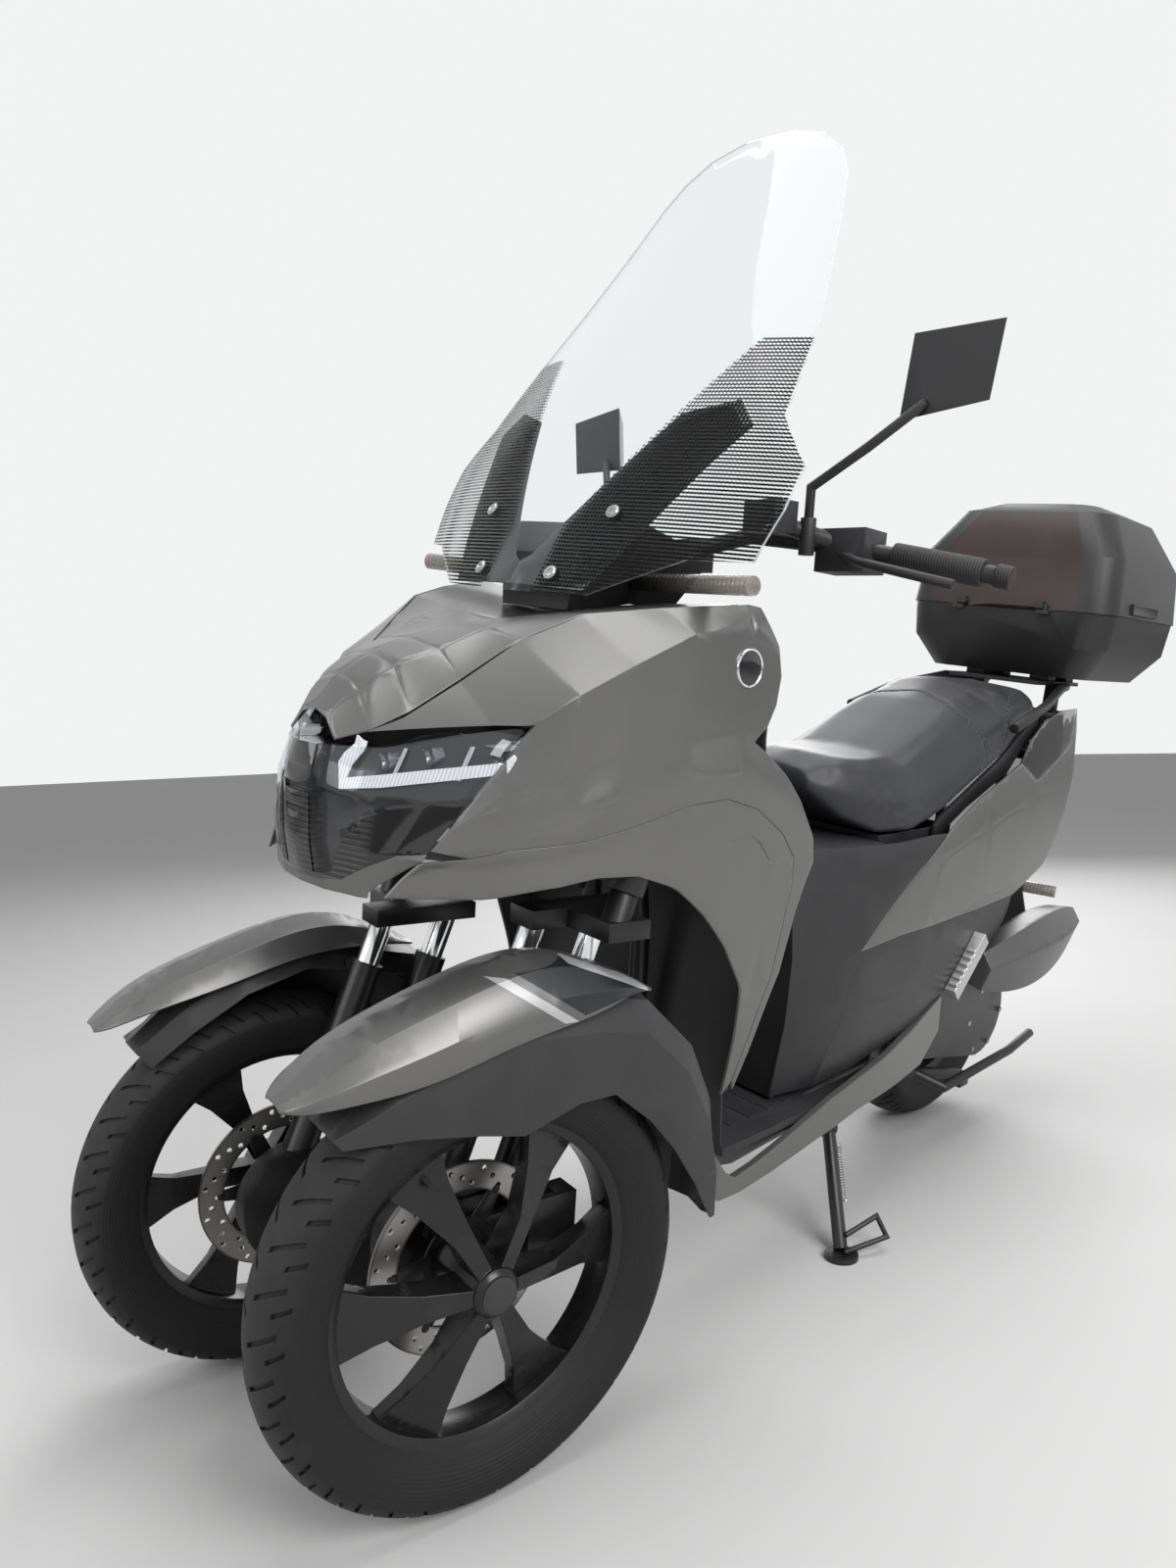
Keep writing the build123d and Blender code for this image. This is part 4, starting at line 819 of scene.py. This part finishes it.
for side in wheelSides:
    makeAxleEnds(side)
print("axles capped")

# Headlights

headlight = {
    # (y, z, width) along each band, and how far behind the lens face it lies
    "strip": [([(64, 853, 15), (54, 826, 13), (57, 806, 13), (90, 813, 13), (132, 825, 13), (180, 839, 12),
                (192, 853, 5)], 5)],
    "bars": [([(148, 822, 3.5), (151, 857, 3.5)], 6), ([(98, 818, 3), (100, 848, 3)], 6)],
    "eyes": [(84, 832, 11), (118, 842, 11)],
    "facets": [([(168, 850, 8), (172, 866, 8)], 7), ([(181, 856, 6), (184, 870, 6)], 7)],
    "bowl": 15, "eyeDepth": 14,
}


def clearLens():
    # clear moulded cover
    finish = Finish("lamp_cover")
    finish.put(finish.output, {"Surface": clearSkin(finish, (0.80, 0.81, 0.83), 0.03, 0.7, 0.04)})
    return finish.material


def lightGuide(name, tone, glow):
    # pale light guide with a faint ribbing
    finish = Finish(name, Coat_Weight=0.5)
    x, y, z = finish.axes(finish.where(bodyPlace))
    ribs = (y * 2.2).calc("SINE") * 0.5 + 0.5
    shade = finish.shades(ribs, tone, 0.72, 1)
    light = finish.shades(ribs, tone, glow * 0.6, glow)
    finish.put(finish.shader, {"Emission Strength": 1.0})
    return finish.use(Base_Color=shade, Emission_Color=light, Roughness=ribs * 0.1 + 0.2)


def bandPlate(name, rows, cuts=2):
    # a strip in the plane x = 0 from (y, z, width) rows
    first, second = [], []
    for i, (y, z, width) in enumerate(rows):
        before, after = rows[max(i - 1, 0)], rows[min(i + 1, len(rows) - 1)]
        along = Vector((after[0] - before[0], after[1] - before[1])).normalized()
        first.append((0, y - along.y * width / 2, z + along.x * width / 2))
        second.append((0, y + along.y * width / 2, z - along.x * width / 2))
    return bridgeLines(name, (first, second), cuts)


def frontOf(target, y, z):
    # where a line from straight ahead meets the target, along the drawing's X
    aim = bodyPlace.to_3x3() @ Vector((-1, 0, 0))
    hit, spot, normal, index = target.ray_cast(sceneAt((300, y, z)), aim)
    return (bodyPlace.inverted() @ (spot * 1000)).x if hit else None


def drapeOn(obj, target, depth, thickness):
    # laid on the target from straight ahead, a little behind its face
    lost = []
    reached = []
    for vertex in obj.data.vertices:
        front = frontOf(target, vertex.co.y, vertex.co.z)
        if front is None:
            lost.append(vertex)
        else:
            vertex.co.x = front - depth
            reached.append(vertex.co.copy())
    for vertex in lost:
        near = min(reached, key=lambda co: (co.y - vertex.co.y) ** 2 + (co.z - vertex.co.z) ** 2)
        vertex.co.x = near.x
    useModifier(obj, "SOLIDIFY", thickness=thickness, offset=0)
    closeShell(obj, 0.001)
    return obj


def bothSides(obj):
    # with its mirror image across the middle plane
    other = copyOf(obj)
    other.data.transform(Matrix.Scale(-1, 4, (0, 1, 0)))
    closeShell(other, 0.0001)
    return joinAll(obj.name, [obj, other])


def lampBands(name, key, lens, cuts, thickness, finish):
    bands = [drapeOn(bandPlate(name, rows, cuts), lens, depth, thickness) for rows, depth in headlight[key]]
    settle(bothSides(joinAll(name, bands)), finish, "lens_dark")


def makeHeadlights():
    lens = dressNode("headlights", clearLens(), "lens_dark", 0, 35)
    lampBands("lamp_strip", "strip", lens, 2, 2, lightGuide("light_guide", (0.86, 0.87, 0.9), 0.22))
    lampBands("lamp_bars", "bars", lens, 3, 1.5, lightGuide("thin_guide", (0.6, 0.62, 0.66), 0.1))
    lampBands("lamp_facets", "facets", lens, 2, 2, finishes["chrome"])
    # lamp eyes: a dished ring with a domed glass, behind the cover
    eyes = []
    for y, z, radius in headlight["eyes"]:
        profile = [(0, 0), (3, 0.35), (4, 0.7), (2, 0.78), (5, 1), (-8, 1), (-8, 0)]
        eye = spinLine("lamp_eye", [(x, 0, radius * share) for x, share in profile], 28, (1, 0, 0))
        eye.data.transform(Matrix.Translation((frontOf(lens, y, z) - headlight["eyeDepth"], y, z)))
        eyes.append(eye)
    settle(bothSides(joinAll("lamp_eyes", eyes)), finishes["lampGlass"], "lens_dark")
    # dark bowl: the lens's front skin, set back
    bowl = copyOf(lens)
    bowl.name = "lamp_bowl"
    pickFaces(bowl, lambda face: upright(face).x < 0.25)
    bpy.ops.mesh.delete(type="FACE")
    leaveEdit()
    useModifier(bowl, "SOLIDIFY", thickness=0.001, offset=-1)
    shift = bodyPlace.to_3x3() @ Vector((-headlight["bowl"] * 0.001, 0, 0))
    bowl.data.transform(Matrix.Translation(shift))
    dress(bowl, finishes["lampBowl"])


makeHeadlights()
print("headlights fitted")

# Seat

seatPad = {
    "voxel": 0.007, "draw": 0.004, "pressure": 3.5, "swell": 0.009, "frames": 20,
    "seam": [(-1070, 158, 694), (-1120, 158, 706), (-1170, 155, 732), (-1202, 148, 775), (-1204, 149, 806),
             (-1190, 140, 848), (-1166, 120, 880), (-1160, 92, 900), (-1176, 55, 910), (-1192, 20, 914),
             (-1196, 0, 914)],
    "panel": [(-1262, 150, 790), (-1282, 148, 840), (-1300, 138, 884), (-1345, 120, 914), (-1393, 111, 926),
              (-1440, 108, 924)],
    "channel": 0.0022, "channelWidth": 0.0045, "runStep": 2.0,
    "stitchLength": 4.4, "stitchStep": 6.6, "stitchGap": 4.2, "panelStitchGap": 3.2,
}


def seatLeather():
    # black vinyl with a fine leather grain, a little greyer where it is sat on
    finish = Finish("seat_vinyl", Specular_IOR_Level=0.45)
    spot = finish.where()
    grain = finish.cells(spot, 820)
    fine = finish.noise(spot, 1500, 2)
    cloud = finish.noise(spot, 7, 3)
    finish.bump(grain * 0.8 + fine * 0.25, 0.3, 0.0005)
    shade = finish.blendColors(cloud.soft(0.3, 0.7), (0.021, 0.0215, 0.024), (0.034, 0.035, 0.039))
    return finish.use(Base_Color=shade, Roughness=cloud * 0.12 + 0.4)


def threadFinish():
    finish = Finish("seat_thread")
    twist = finish.noise(finish.where(), 2600, 2)
    shade = finish.blendColors(twist, (0.1, 0.105, 0.115), (0.2, 0.205, 0.22))
    return finish.use(Base_Color=shade, Roughness=twist * 0.2 + 0.6)


def smoothLine(points, step):
    # evenly spaced points along a curve through the given ones
    dense = []
    padded = [points[0]] + list(points) + [points[-1]]
    for a, b, c, d in zip(padded, padded[1:], padded[2:], padded[3:]):
        a, b, c, d = map(Vector, (a, b, c, d))
        for i in range(12):
            t = i / 12
            dense.append(0.5 * (2 * b + (c - a) * t + (2 * a - 5 * b + 4 * c - d) * t * t
                                + (3 * b - a - 3 * c + d) * t ** 3))
    dense.append(Vector(points[-1]))
    evenly, gone = [dense[0]], 0
    for a, b in zip(dense, dense[1:]):
        gone += (b - a).length
        if gone >= step:
            evenly.append(b)
            gone = 0
    return evenly


def makeSeat():
    pad = copyOfNode("seat_cushion", "seat_pad")
    closeShell(pad, 0.00001)
    useModifier(pad, "REMESH", mode="VOXEL", voxel_size=seatPad["voxel"])
    useModifier(pad, "DISPLACE", strength=-seatPad["draw"], mid_level=0)
    useModifier(pad, "SMOOTH", factor=0.6, iterations=9)
    swellPad(pad)
    useModifier(pad, "SMOOTH", factor=0.5, iterations=4)
    useModifier(pad, "SUBSURF", levels=1, render_levels=1)
    lines = [seatPad["seam"] + [(x, -y, z) for x, y, z in seatPad["seam"][-2::-1]]]
    lines += [[(x, side * y, z) for x, y, z in seatPad["panel"]] for side in (1, -1)]
    sewn = []
    for line in lines:
        near = [pad.closest_point_on_mesh(sceneAt(point)) for point in smoothLine(line, seatPad["runStep"])]
        sewn.append([(spot.copy(), normal.copy()) for found, spot, normal, index in near])
    pressSeams(pad, sewn)
    smoothPiece(pad, 60)
    dress(pad, seatLeather(), ["seat_cushion"], "seat")
    addStitches(pad, sewn)


def swellPad(pad):
    # the base stays on its plate while the cover fills out
    held = [v.index for v in pad.data.vertices if upright(v).z < -0.45]
    pad.vertex_groups.new(name="base").add(held, 1, "ADD")
    start = [v.co.copy() for v in pad.data.vertices]
    cloth = pad.modifiers.new("cover", "CLOTH")
    weave = cloth.settings
    weave.quality = 6
    weave.mass = 0.4
    weave.bending_stiffness = 4
    weave.use_pressure = True
    weave.uniform_pressure_force = seatPad["pressure"]
    weave.vertex_group_mass = "base"
    weave.effector_weights.gravity = 0
    scene = bpy.context.scene
    cloth.point_cache.frame_start, cloth.point_cache.frame_end = 1, seatPad["frames"]
    for number in range(1, seatPad["frames"] + 1):
        scene.frame_set(number)
    pickOnly(pad)
    bpy.ops.object.modifier_apply(modifier=cloth.name)
    for vertex, before in zip(pad.data.vertices, start):
        moved = vertex.co - before
        if moved.length > seatPad["swell"]:
            vertex.co = before + moved * (seatPad["swell"] / moved.length)
    scene.frame_set(1)
    pad.vertex_groups.clear()


def pressSeams(pad, sewn):
    spots = [spot for run in sewn for spot, normal in run]
    tree = KDTree(len(spots))
    for i, spot in enumerate(spots):
        tree.insert(spot, i)
    tree.balance()
    normals = [v.normal.copy() for v in pad.data.vertices]
    for vertex, normal in zip(pad.data.vertices, normals):
        spot, index, away = tree.find(vertex.co)
        if away < seatPad["channelWidth"] * 3:
            fall = math.exp(-(away / seatPad["channelWidth"]) ** 2)
            vertex.co -= normal * seatPad["channel"] * fall


def addStitches(pad, sewn):
    clearPicks()
    bpy.ops.mesh.primitive_cylinder_add(vertices=6, radius=0.62, depth=seatPad["stitchLength"])
    stitch = bpy.context.object
    pickFaces(stitch, lambda face: abs(face.normal.z) > 0.9)
    bpy.ops.mesh.inset(thickness=0.3, depth=0.25, use_individual=True)
    leaveEdit()
    every = round(seatPad["stitchStep"] / seatPad["runStep"])
    gap = seatPad["stitchGap"]
    made = []
    for number, run in enumerate(sewn):
        for shift in ((gap, -gap) if number == 0 else (seatPad["panelStitchGap"],)):
            for i in range(every, len(run) - every, every):
                spot, normal = run[i]
                along = (run[i + 1][0] - run[i - 1][0]).normalized()
                across = normal.cross(along).normalized()
                found, near, up, index = pad.closest_point_on_mesh(spot + across * shift * 0.001)
                side = up.cross(along).normalized()
                turned = Matrix((side, up, along)).transposed().to_4x4()
                copy = copyOf(stitch)
                copy.data.transform(Matrix.Translation(near + up * 0.0003) @ turned @ Matrix.Scale(0.001, 4))
                made.append(copy)
    bpy.data.objects.remove(stitch)
    whole = joinAll("seat_stitches", made)
    closeShell(whole, 0.000001)
    smoothPiece(whole, 60)
    dress(whole, threadFinish(), (), "seat")


makeSeat()
print("seat sewn")

# Dark trim between the seat and the tail

seatTrim = {
    "top": [(-1046, 690), (-1062, 704), (-1150, 737), (-1300, 795), (-1430, 861), (-1476, 886)],
    "low": [(-1476, 846), (-1400, 806), (-1352, 768), (-1173, 712), (-1065, 668), (-1046, 664)],
    "inner": 134, "thick": 8, "taper": 0.05, "taperFrom": -1150, "mostTaper": -40,
}


def makeSeatTrim():
    outline = [(x, seatTrim["inner"], z) for x, z in seatTrim["top"] + seatTrim["low"]]
    trim = plateFrom("seat_trim", outline, (0, seatTrim["thick"], 0))
    for vertex in trim.data.vertices:
        vertex.co.y += max(seatTrim["mostTaper"], (vertex.co.x - seatTrim["taperFrom"]) * seatTrim["taper"])
    softened(trim, 1.5)
    settle(bothSides(trim), finishes["blackPlastic"], "black_plastic")


makeSeatTrim()

# Fender crowns: pale stripe and dark panel on the outer side

# lines on the crown's outer side, as a height at a given x and a slope, in the fork's own drawing
crownMark = {"slant": 1.56, "slantFrom": 586, "stripe": (1, 18), "panelFront": -15, "rim": 3, "inside": 218,
             "low": 541, "high": 588, "bend": -75, "rimEnd": -160,
             "rearTop": (596, -75, 0.381), "frontTop": (594, -40, -0.09), "foot": (546, -77, -0.22)}


def crownPaint(side):
    finish = Finish("crown_paint_" + side, Coat_Weight=0.12, Coat_Roughness=0.3)
    x, y, z = finish.axes(finish.where(forkPlace(side)))
    grains = finish.flakes(finish.where())
    outer = (y * sideSign[side] > crownMark["inside"]) * (z > crownMark["low"])
    along = x - (z - crownMark["slantFrom"]) * crownMark["slant"]
    low, high = crownMark["stripe"]
    stripe = (along > low) * (along < high) * outer * (z < crownMark["high"])
    rearTop, frontTop, foot = [(x - at) * slope + height for height, at, slope in
                               (crownMark["rearTop"], crownMark["frontTop"], crownMark["foot"])]
    rear = x < crownMark["bend"]
    under = (z < rearTop) * rear + (z < frontTop) * (1 - rear)
    dark = under * (along < crownMark["panelFront"]) * outer * (z > foot)
    trim = ((rearTop - z).calc("ABSOLUTE") < crownMark["rim"]) * rear * (x > crownMark["rimEnd"]) * outer
    light = (stripe + trim).calc("MINIMUM", 1)
    withPanel = finish.blendColors(dark, finish.shades(grains, titanium, 0.9, 1.12), (0.032, 0.034, 0.037))
    shade = finish.blendColors(light, withPanel, (0.42, 0.42, 0.43))
    return finish.use(Base_Color=shade, Metallic=0.6 - light * 0.35, Roughness=grains * 0.05 + 0.34)


for side in sideSign:
    dressed["fender_crown_" + side].data.materials[0] = crownPaint(side)

# Nose mask: fine level lines moulded into the black, with a lighter colour on them as a painted reflection

grille = {"pitch": 6.5, "half": 96, "top": 800}


def grilleWithPaintedGlints():
    finish = Finish("mask_gloss_lined_painted_glints", Coat_Weight=0.5, Coat_Roughness=0.05)
    x, y, z = finish.axes(finish.where(bodyPlace))
    wave = (z * (2 * math.pi / grille["pitch"])).calc("SINE")
    area = (1 - y.calc("ABSOLUTE").soft(grille["half"] - 8, grille["half"])) * (z < grille["top"])
    lines = wave.soft(-0.2, 0.5) * area
    finish.bump(lines, 0.6, 0.0012)
    # the moulded lines are also coloured lighter: a painted reflection along each line
    shade = finish.blendColors(lines, (0.006, 0.006, 0.007), (0.022, 0.022, 0.024))
    return finish.use(Base_Color=shade, Roughness=lines * 0.1 + 0.08)


dressed["nose_mask"].data.materials[0] = grilleWithPaintedGlints()

# Second finishes on some dressed pieces

def secondFinish(obj, finish, wanted, inset=0.0):
    # the faces that wanted allows take another finish, kept off their edges by an inset
    obj.data.materials.append(finish)
    pickFaces(obj, wanted)
    obj.active_material_index = len(obj.data.materials) - 1
    if inset:
        bpy.ops.mesh.inset(thickness=inset, depth=0, use_boundary=True)
    bpy.ops.object.material_slot_assign()
    leaveEdit()


def spotOf(face, place=bodyPlace):
    # a face's middle in the drawing
    return place.inverted() @ (face.center * 1000)


lensStart = {"between": -600, "front": 150, "rear": 112}
sliders = {"low": 548, "high": 640, "across": 124, "reach": 16.5}


def lidPanel(face):
    return upright(face).x > 0.55 and upright(face).z > 0.02 and face.area > 0.002


def mirrorFace(face):
    return upright(face, columnPlace).x < -0.85 and face.area > 0.001


def signalEnd(face):
    spot = spotOf(face)
    return abs(spot.y) > lensStart["front" if spot.x > lensStart["between"] else "rear"]


def displayFace(face):
    return upright(face).x < -0.35 and upright(face).z > 0.2 and face.area > 0.004


def forkTube(place):
    # the bright sliding tubes, below the crown
    def allowed(face):
        spot, normal = spotOf(face, place), upright(face, place).normalized()
        aside = abs(abs(spot.y) - sliders["across"]) < sliders["reach"]
        return sliders["low"] < spot.z < sliders["high"] and aside and abs(normal.dot(steeringUp)) < 0.2
    return allowed


secondFinish(dressed["box_lid"], finishes["boxPanel"], lidPanel, 0.004)
secondFinish(dressed["mirrors"], finishes["mirrorGlass"], mirrorFace, 0.003)
secondFinish(dressed["signals"], finishes["smokedLens"], signalEnd)
secondFinish(dressed["instrument_panel"], finishes["display"], displayFace, 0.006)
for side in sideSign:
    secondFinish(dressed["fork_" + side], finishes["chrome"], forkTube(forkPlace(side)))
print("second finishes laid")

# Grips

gripRibs = {"pitch": 3.4}


def gripFinish():
    finish = Finish("grip_ribbed")
    x, y, z = finish.axes(finish.where(columnPlace))
    across = (y * (2 * math.pi / gripRibs["pitch"])).calc("SINE")
    waffle = finish.noise(finish.where(), 700, 2)
    finish.bump(across * 0.5 + waffle * 0.3, 0.6, 0.0009)
    shade = finish.blendColors(across * 0.5 + 0.5, (0.008, 0.008, 0.008), (0.019, 0.019, 0.019))
    return finish.use(Base_Color=shade, Roughness=waffle * 0.1 + 0.6)


dressed["grips"].data.materials[0] = gripFinish()

# Badge: a plain domed disc in a bright ring on each cowl

badge = {"at": (-295, 251, 957), "radius": 23}


def onSurface(target, point):
    # the place of a drawing whose Y leaves the surface outward, in millimetres
    found, spot, normal, index = target.closest_point_on_mesh(sceneAt(point))
    up = normal.normalized()
    side = up.orthogonal().normalized()
    turned = Matrix((side, up, side.cross(up))).transposed().to_4x4()
    return Matrix.Translation(spot * 1000) @ turned


def makeBadge(side):
    x, y, z = badge["at"]
    place = onSurface(dressed["side_cowls"], (x, sideSign[side] * y, z))
    r = badge["radius"]
    dome = turnedOnY("badge_dome_" + side, [(0, -1), (r - 3, -1), (r - 3, 1.6), (r - 8, 2.6), (r * 0.3, 3.3),
                                            (0, 3.4)], 48)
    ring = turnedOnY("badge_ring_" + side, [(r - 3, -1), (r, -1), (r, 1.6), (r - 0.8, 2.8), (r - 2, 3.1),
                                            (r - 3, 2.4), (r - 3, -1)], 48)
    settle(dome, finishes["glossBlack"], "gloss_black", 40, place=place)
    settle(ring, finishes["chrome"], "shock_steel", 40, place=place)


for side in sideSign:
    makeBadge(side)

# Dark plate behind the screen: two arms rising from its foot

screenPlate = {
    "upper": [(0, 1052), (14, 1060), (51, 1120), (86, 1180), (121, 1240), (185, 1258)],
    "lower": [(0, 1025), (112, 1024), (140, 1075), (165, 1127), (190, 1180), (215, 1226)],
    "behind": 6.6, "thick": 2.6, "stays": (-188, -150, 40, 1028, 1044),
}


def makeScreenPlate():
    lines = [[(0, y, z) for y, z in screenPlate[key]] for key in ("upper", "lower")]
    plate = bridgeLines("screen_plate", lines, 3)
    drapeOn(plate, sheet, screenPlate["behind"], screenPlate["thick"])
    softened(plate, 0.8)
    back, front, y, low, high = screenPlate["stays"]
    outline = [(back, low), (front, low), (front - 6, high), (back, high)]
    stay = plateFrom("plate_stay", [(x, y - 10, z) for x, z in outline], (0, 20, 0))
    softened(stay, 1.5)
    whole = bothSides(joinAll("screen_plate", [plate, stay]))
    settle(whole, finishes["glossBlack"], "gloss_black", 40, ["screen_panel"])


makeScreenPlate()

# Screws

screws = {"radius": 7, "rise": 2.6, "places": [(-170, 110, 1132), (-121, 66, 1056)]}


def domeScrew(name):
    # round head with a socket, on a thin washer
    radius, rise = screws["radius"], screws["rise"]
    return turnedOnY(name, [(0, 0), (radius * 1.25, 0), (radius * 1.25, 0.8), (radius, 1.0),
                            (radius * 0.86, rise * 0.8), (radius * 0.5, rise), (radius * 0.42, rise * 0.5),
                            (0, rise * 0.45)], 20)


for index, (x, y, z) in enumerate(screws["places"]):
    for side, sign in sideSign.items():
        screw = domeScrew("screen_screw_%d%s" % (index, side[0]))
        settle(screw, finishes["steel"], "shock_steel", 35, place=onSurface(sheet, (x, sign * y, z)))

# Springs

# wires: coil radius, wire radius, turns and steps for each turn
springs = {
    "shocks": [((-1400, 120, 344), (-1345, 126, 655)), ((-1400, -104, 328), (-1345, -118, 655))],
    "shockWire": (22.5, 3.6, 9, 20), "standWire": (5.5, 1.1, 22, 12),
    "standTop": (-821, 150, 191), "standFoot": (-723, 257.7, 46.8), "standSide": (-0.877, 0.285, -0.38),
}


def coilSpring(name, a, b, spec, start, end):
    # wound between two shares of the way from a to b
    a, b = Vector(a), Vector(b)
    first, last = a + (b - a) * start, a + (b - a) * end
    coil, wire, turns, steps = spec
    clearPicks()
    bpy.ops.mesh.primitive_circle_add(vertices=8, radius=wire, location=(coil, 0, 0),
                                      rotation=(math.pi / 2, 0, 0), fill_type="NOTHING")
    obj = bpy.context.object
    obj.name = name
    bpy.ops.object.transform_apply(location=True, rotation=True, scale=True)
    useModifier(obj, "SCREW", angle=2 * math.pi, screw_offset=(last - first).length / turns, iterations=turns,
                steps=steps, render_steps=steps, axis="Z", use_smooth_shade=True)
    editAll(obj)
    bpy.ops.mesh.fill_holes(sides=0)
    closeShell(obj, 0.001)
    aimed = (last - first).to_track_quat("Z", "Y").to_matrix().to_4x4()
    obj.data.transform(Matrix.Translation(first) @ aimed)
    return obj


for side, (a, b) in zip(sideSign, springs["shocks"]):
    spring = coilSpring("shock_spring_" + side, a, b, springs["shockWire"], 0.41, 0.91)
    settle(spring, finishes["steel"], "shock_steel", 60)
dressed["rear_shocks"].data.materials[0] = finishes["forkBlack"]
away = Vector(springs["standSide"]) * 18
top, foot = Vector(springs["standTop"]) + away, Vector(springs["standFoot"]) + away
spring = coilSpring("stand_spring", top, foot, springs["standWire"], 0.12, 0.56)
settle(spring, finishes["steel"], "shock_steel", 60, body="side_stand")
print("springs wound")

# Bolts of the belt case, and the box's side grips

# bolts: centre of the ring, its radius and the count
caseBolts = [((-1020, 136, 355), 84, 8), ((-1400, 146, 262), 72, 6)]
boxGrip = {"at": (-1690, 219, 1108), "size": (150, 9, 22), "rim": 4, "dish": 2}


def makeBoxGrip():
    clearPicks()
    bpy.ops.mesh.primitive_cube_add(size=1, location=boxGrip["at"])
    grip = bpy.context.object
    grip.name = "box_side_grip"
    grip.scale = boxGrip["size"]
    bpy.ops.object.transform_apply(location=True, rotation=True, scale=True)
    pickFaces(grip, lambda face: face.normal.y > 0.9)
    bpy.ops.mesh.inset(thickness=boxGrip["rim"], depth=0)
    bpy.ops.transform.translate(value=(0, -boxGrip["dish"], 0))
    leaveEdit()
    softened(grip, 2.5, 3)
    settle(bothSides(grip), finishes["boxBlack"], "box_black", 35, body="top_box_lid")


for index, (center, reach, count) in enumerate(caseBolts):
    ring = turnCopies(softened(axleRod("case_bolt", 6, -1, 5, reach, 6), 0.8), count)
    ring.name = "case_bolts_%d" % index
    settle(ring, finishes["steel"], "shock_steel", place=bodyPlace @ Matrix.Translation(center))
makeBoxGrip()
print("small parts fixed")

# Camera, lights and floor

camera = {"place": (719, 1145, 821), "yaw": -135.7, "pitch": -2.4, "roll": -1.6, "focal": 1098, "tall": 1600}


def setCamera():
    yaw, pitch, roll = (math.radians(camera[key]) for key in ("yaw", "pitch", "roll"))
    ahead = Vector((math.cos(yaw) * math.cos(pitch), math.sin(yaw) * math.cos(pitch), math.sin(pitch)))
    right = Vector((math.sin(yaw), -math.cos(yaw), 0))
    up = right.cross(ahead)
    side = right * math.cos(roll) + up * math.sin(roll)
    top = up * math.cos(roll) - right * math.sin(roll)
    data = bpy.data.cameras.new("photo_camera")
    data.sensor_fit = "VERTICAL"
    data.sensor_height = 36
    data.lens = camera["focal"] / camera["tall"] * data.sensor_height
    data.clip_start = 0.01
    obj = bpy.data.objects.new("photo_camera", data)
    bpy.context.scene.collection.objects.link(obj)
    place = (Vector(camera["place"]) + Vector(machine["shift"])) * 0.001
    turned = Matrix((side, top, -ahead)).transposed().to_4x4()
    obj.matrix_world = Matrix.Translation(place) @ turned
    bpy.context.scene.camera = obj


def addSoftbox(name, place, aim, size, power):
    data = bpy.data.lights.new(name, "AREA")
    data.shape = "RECTANGLE"
    data.size, data.size_y = size
    data.energy = power
    obj = bpy.data.objects.new(name, data)
    bpy.context.scene.collection.objects.link(obj)
    obj.location = place
    obj.rotation_euler = (Vector(aim) - Vector(place)).to_track_quat("-Z", "Y").to_euler()


studio = {
    # name: place, aim, size, power
    "key_left": ((1.2, 3.6, 2.9), (0, 0, 0.6), (2.6, 2.0), 150),
    "front_fill": ((4.2, -0.6, 2.2), (0.2, 0, 0.5), (2.4, 2.0), 45),
    "back_window": ((-3.6, -2.4, 2.6), (0, 0, 0.8), (3.0, 2.2), 110),
    "overhead": ((-0.2, 0.2, 4.2), (0, 0, 0), (3.4, 2.6), 85),
}


air = {"color": (0.93, 0.935, 0.94, 1), "light": 0.2, "backdrop": 0.95}


def setStudio():
    setCamera()
    for name, values in studio.items():
        addSoftbox(name, *values)
    clearPicks()
    bpy.ops.mesh.primitive_plane_add(size=60)
    floor = bpy.context.object
    floor.name = "studio_floor"
    finish = Finish("floor_pale", Specular_IOR_Level=0.25)
    cloud = finish.noise(finish.where(), 2.5, 4)
    shade = finish.blendColors(cloud, (0.66, 0.66, 0.655), (0.7, 0.7, 0.695))
    floor.data.materials.append(finish.use(Base_Color=shade, Roughness=cloud * 0.1 + 0.55))
    world = bpy.data.worlds.new("studio_air")
    bpy.context.scene.world = world
    world.use_nodes = True
    tree = world.node_tree
    background = tree.nodes["Background"]
    background.inputs["Color"].default_value = air["color"]
    # a pale backdrop in view and in reflections, and less light on the object
    path = tree.nodes.new("ShaderNodeLightPath")
    seen = tree.nodes.new("ShaderNodeMath")
    seen.operation = "MAXIMUM"
    tree.links.new(path.outputs["Is Camera Ray"], seen.inputs[0])
    tree.links.new(path.outputs["Is Glossy Ray"], seen.inputs[1])
    level = tree.nodes.new("ShaderNodeMapRange")
    tree.links.new(seen.outputs[0], level.inputs["Value"])
    level.inputs["To Min"].default_value, level.inputs["To Max"].default_value = air["light"], air["backdrop"]
    tree.links.new(level.outputs[0], background.inputs["Strength"])
    bpy.context.scene.view_settings.view_transform = "Standard"


setStudio()
print("studio lit")
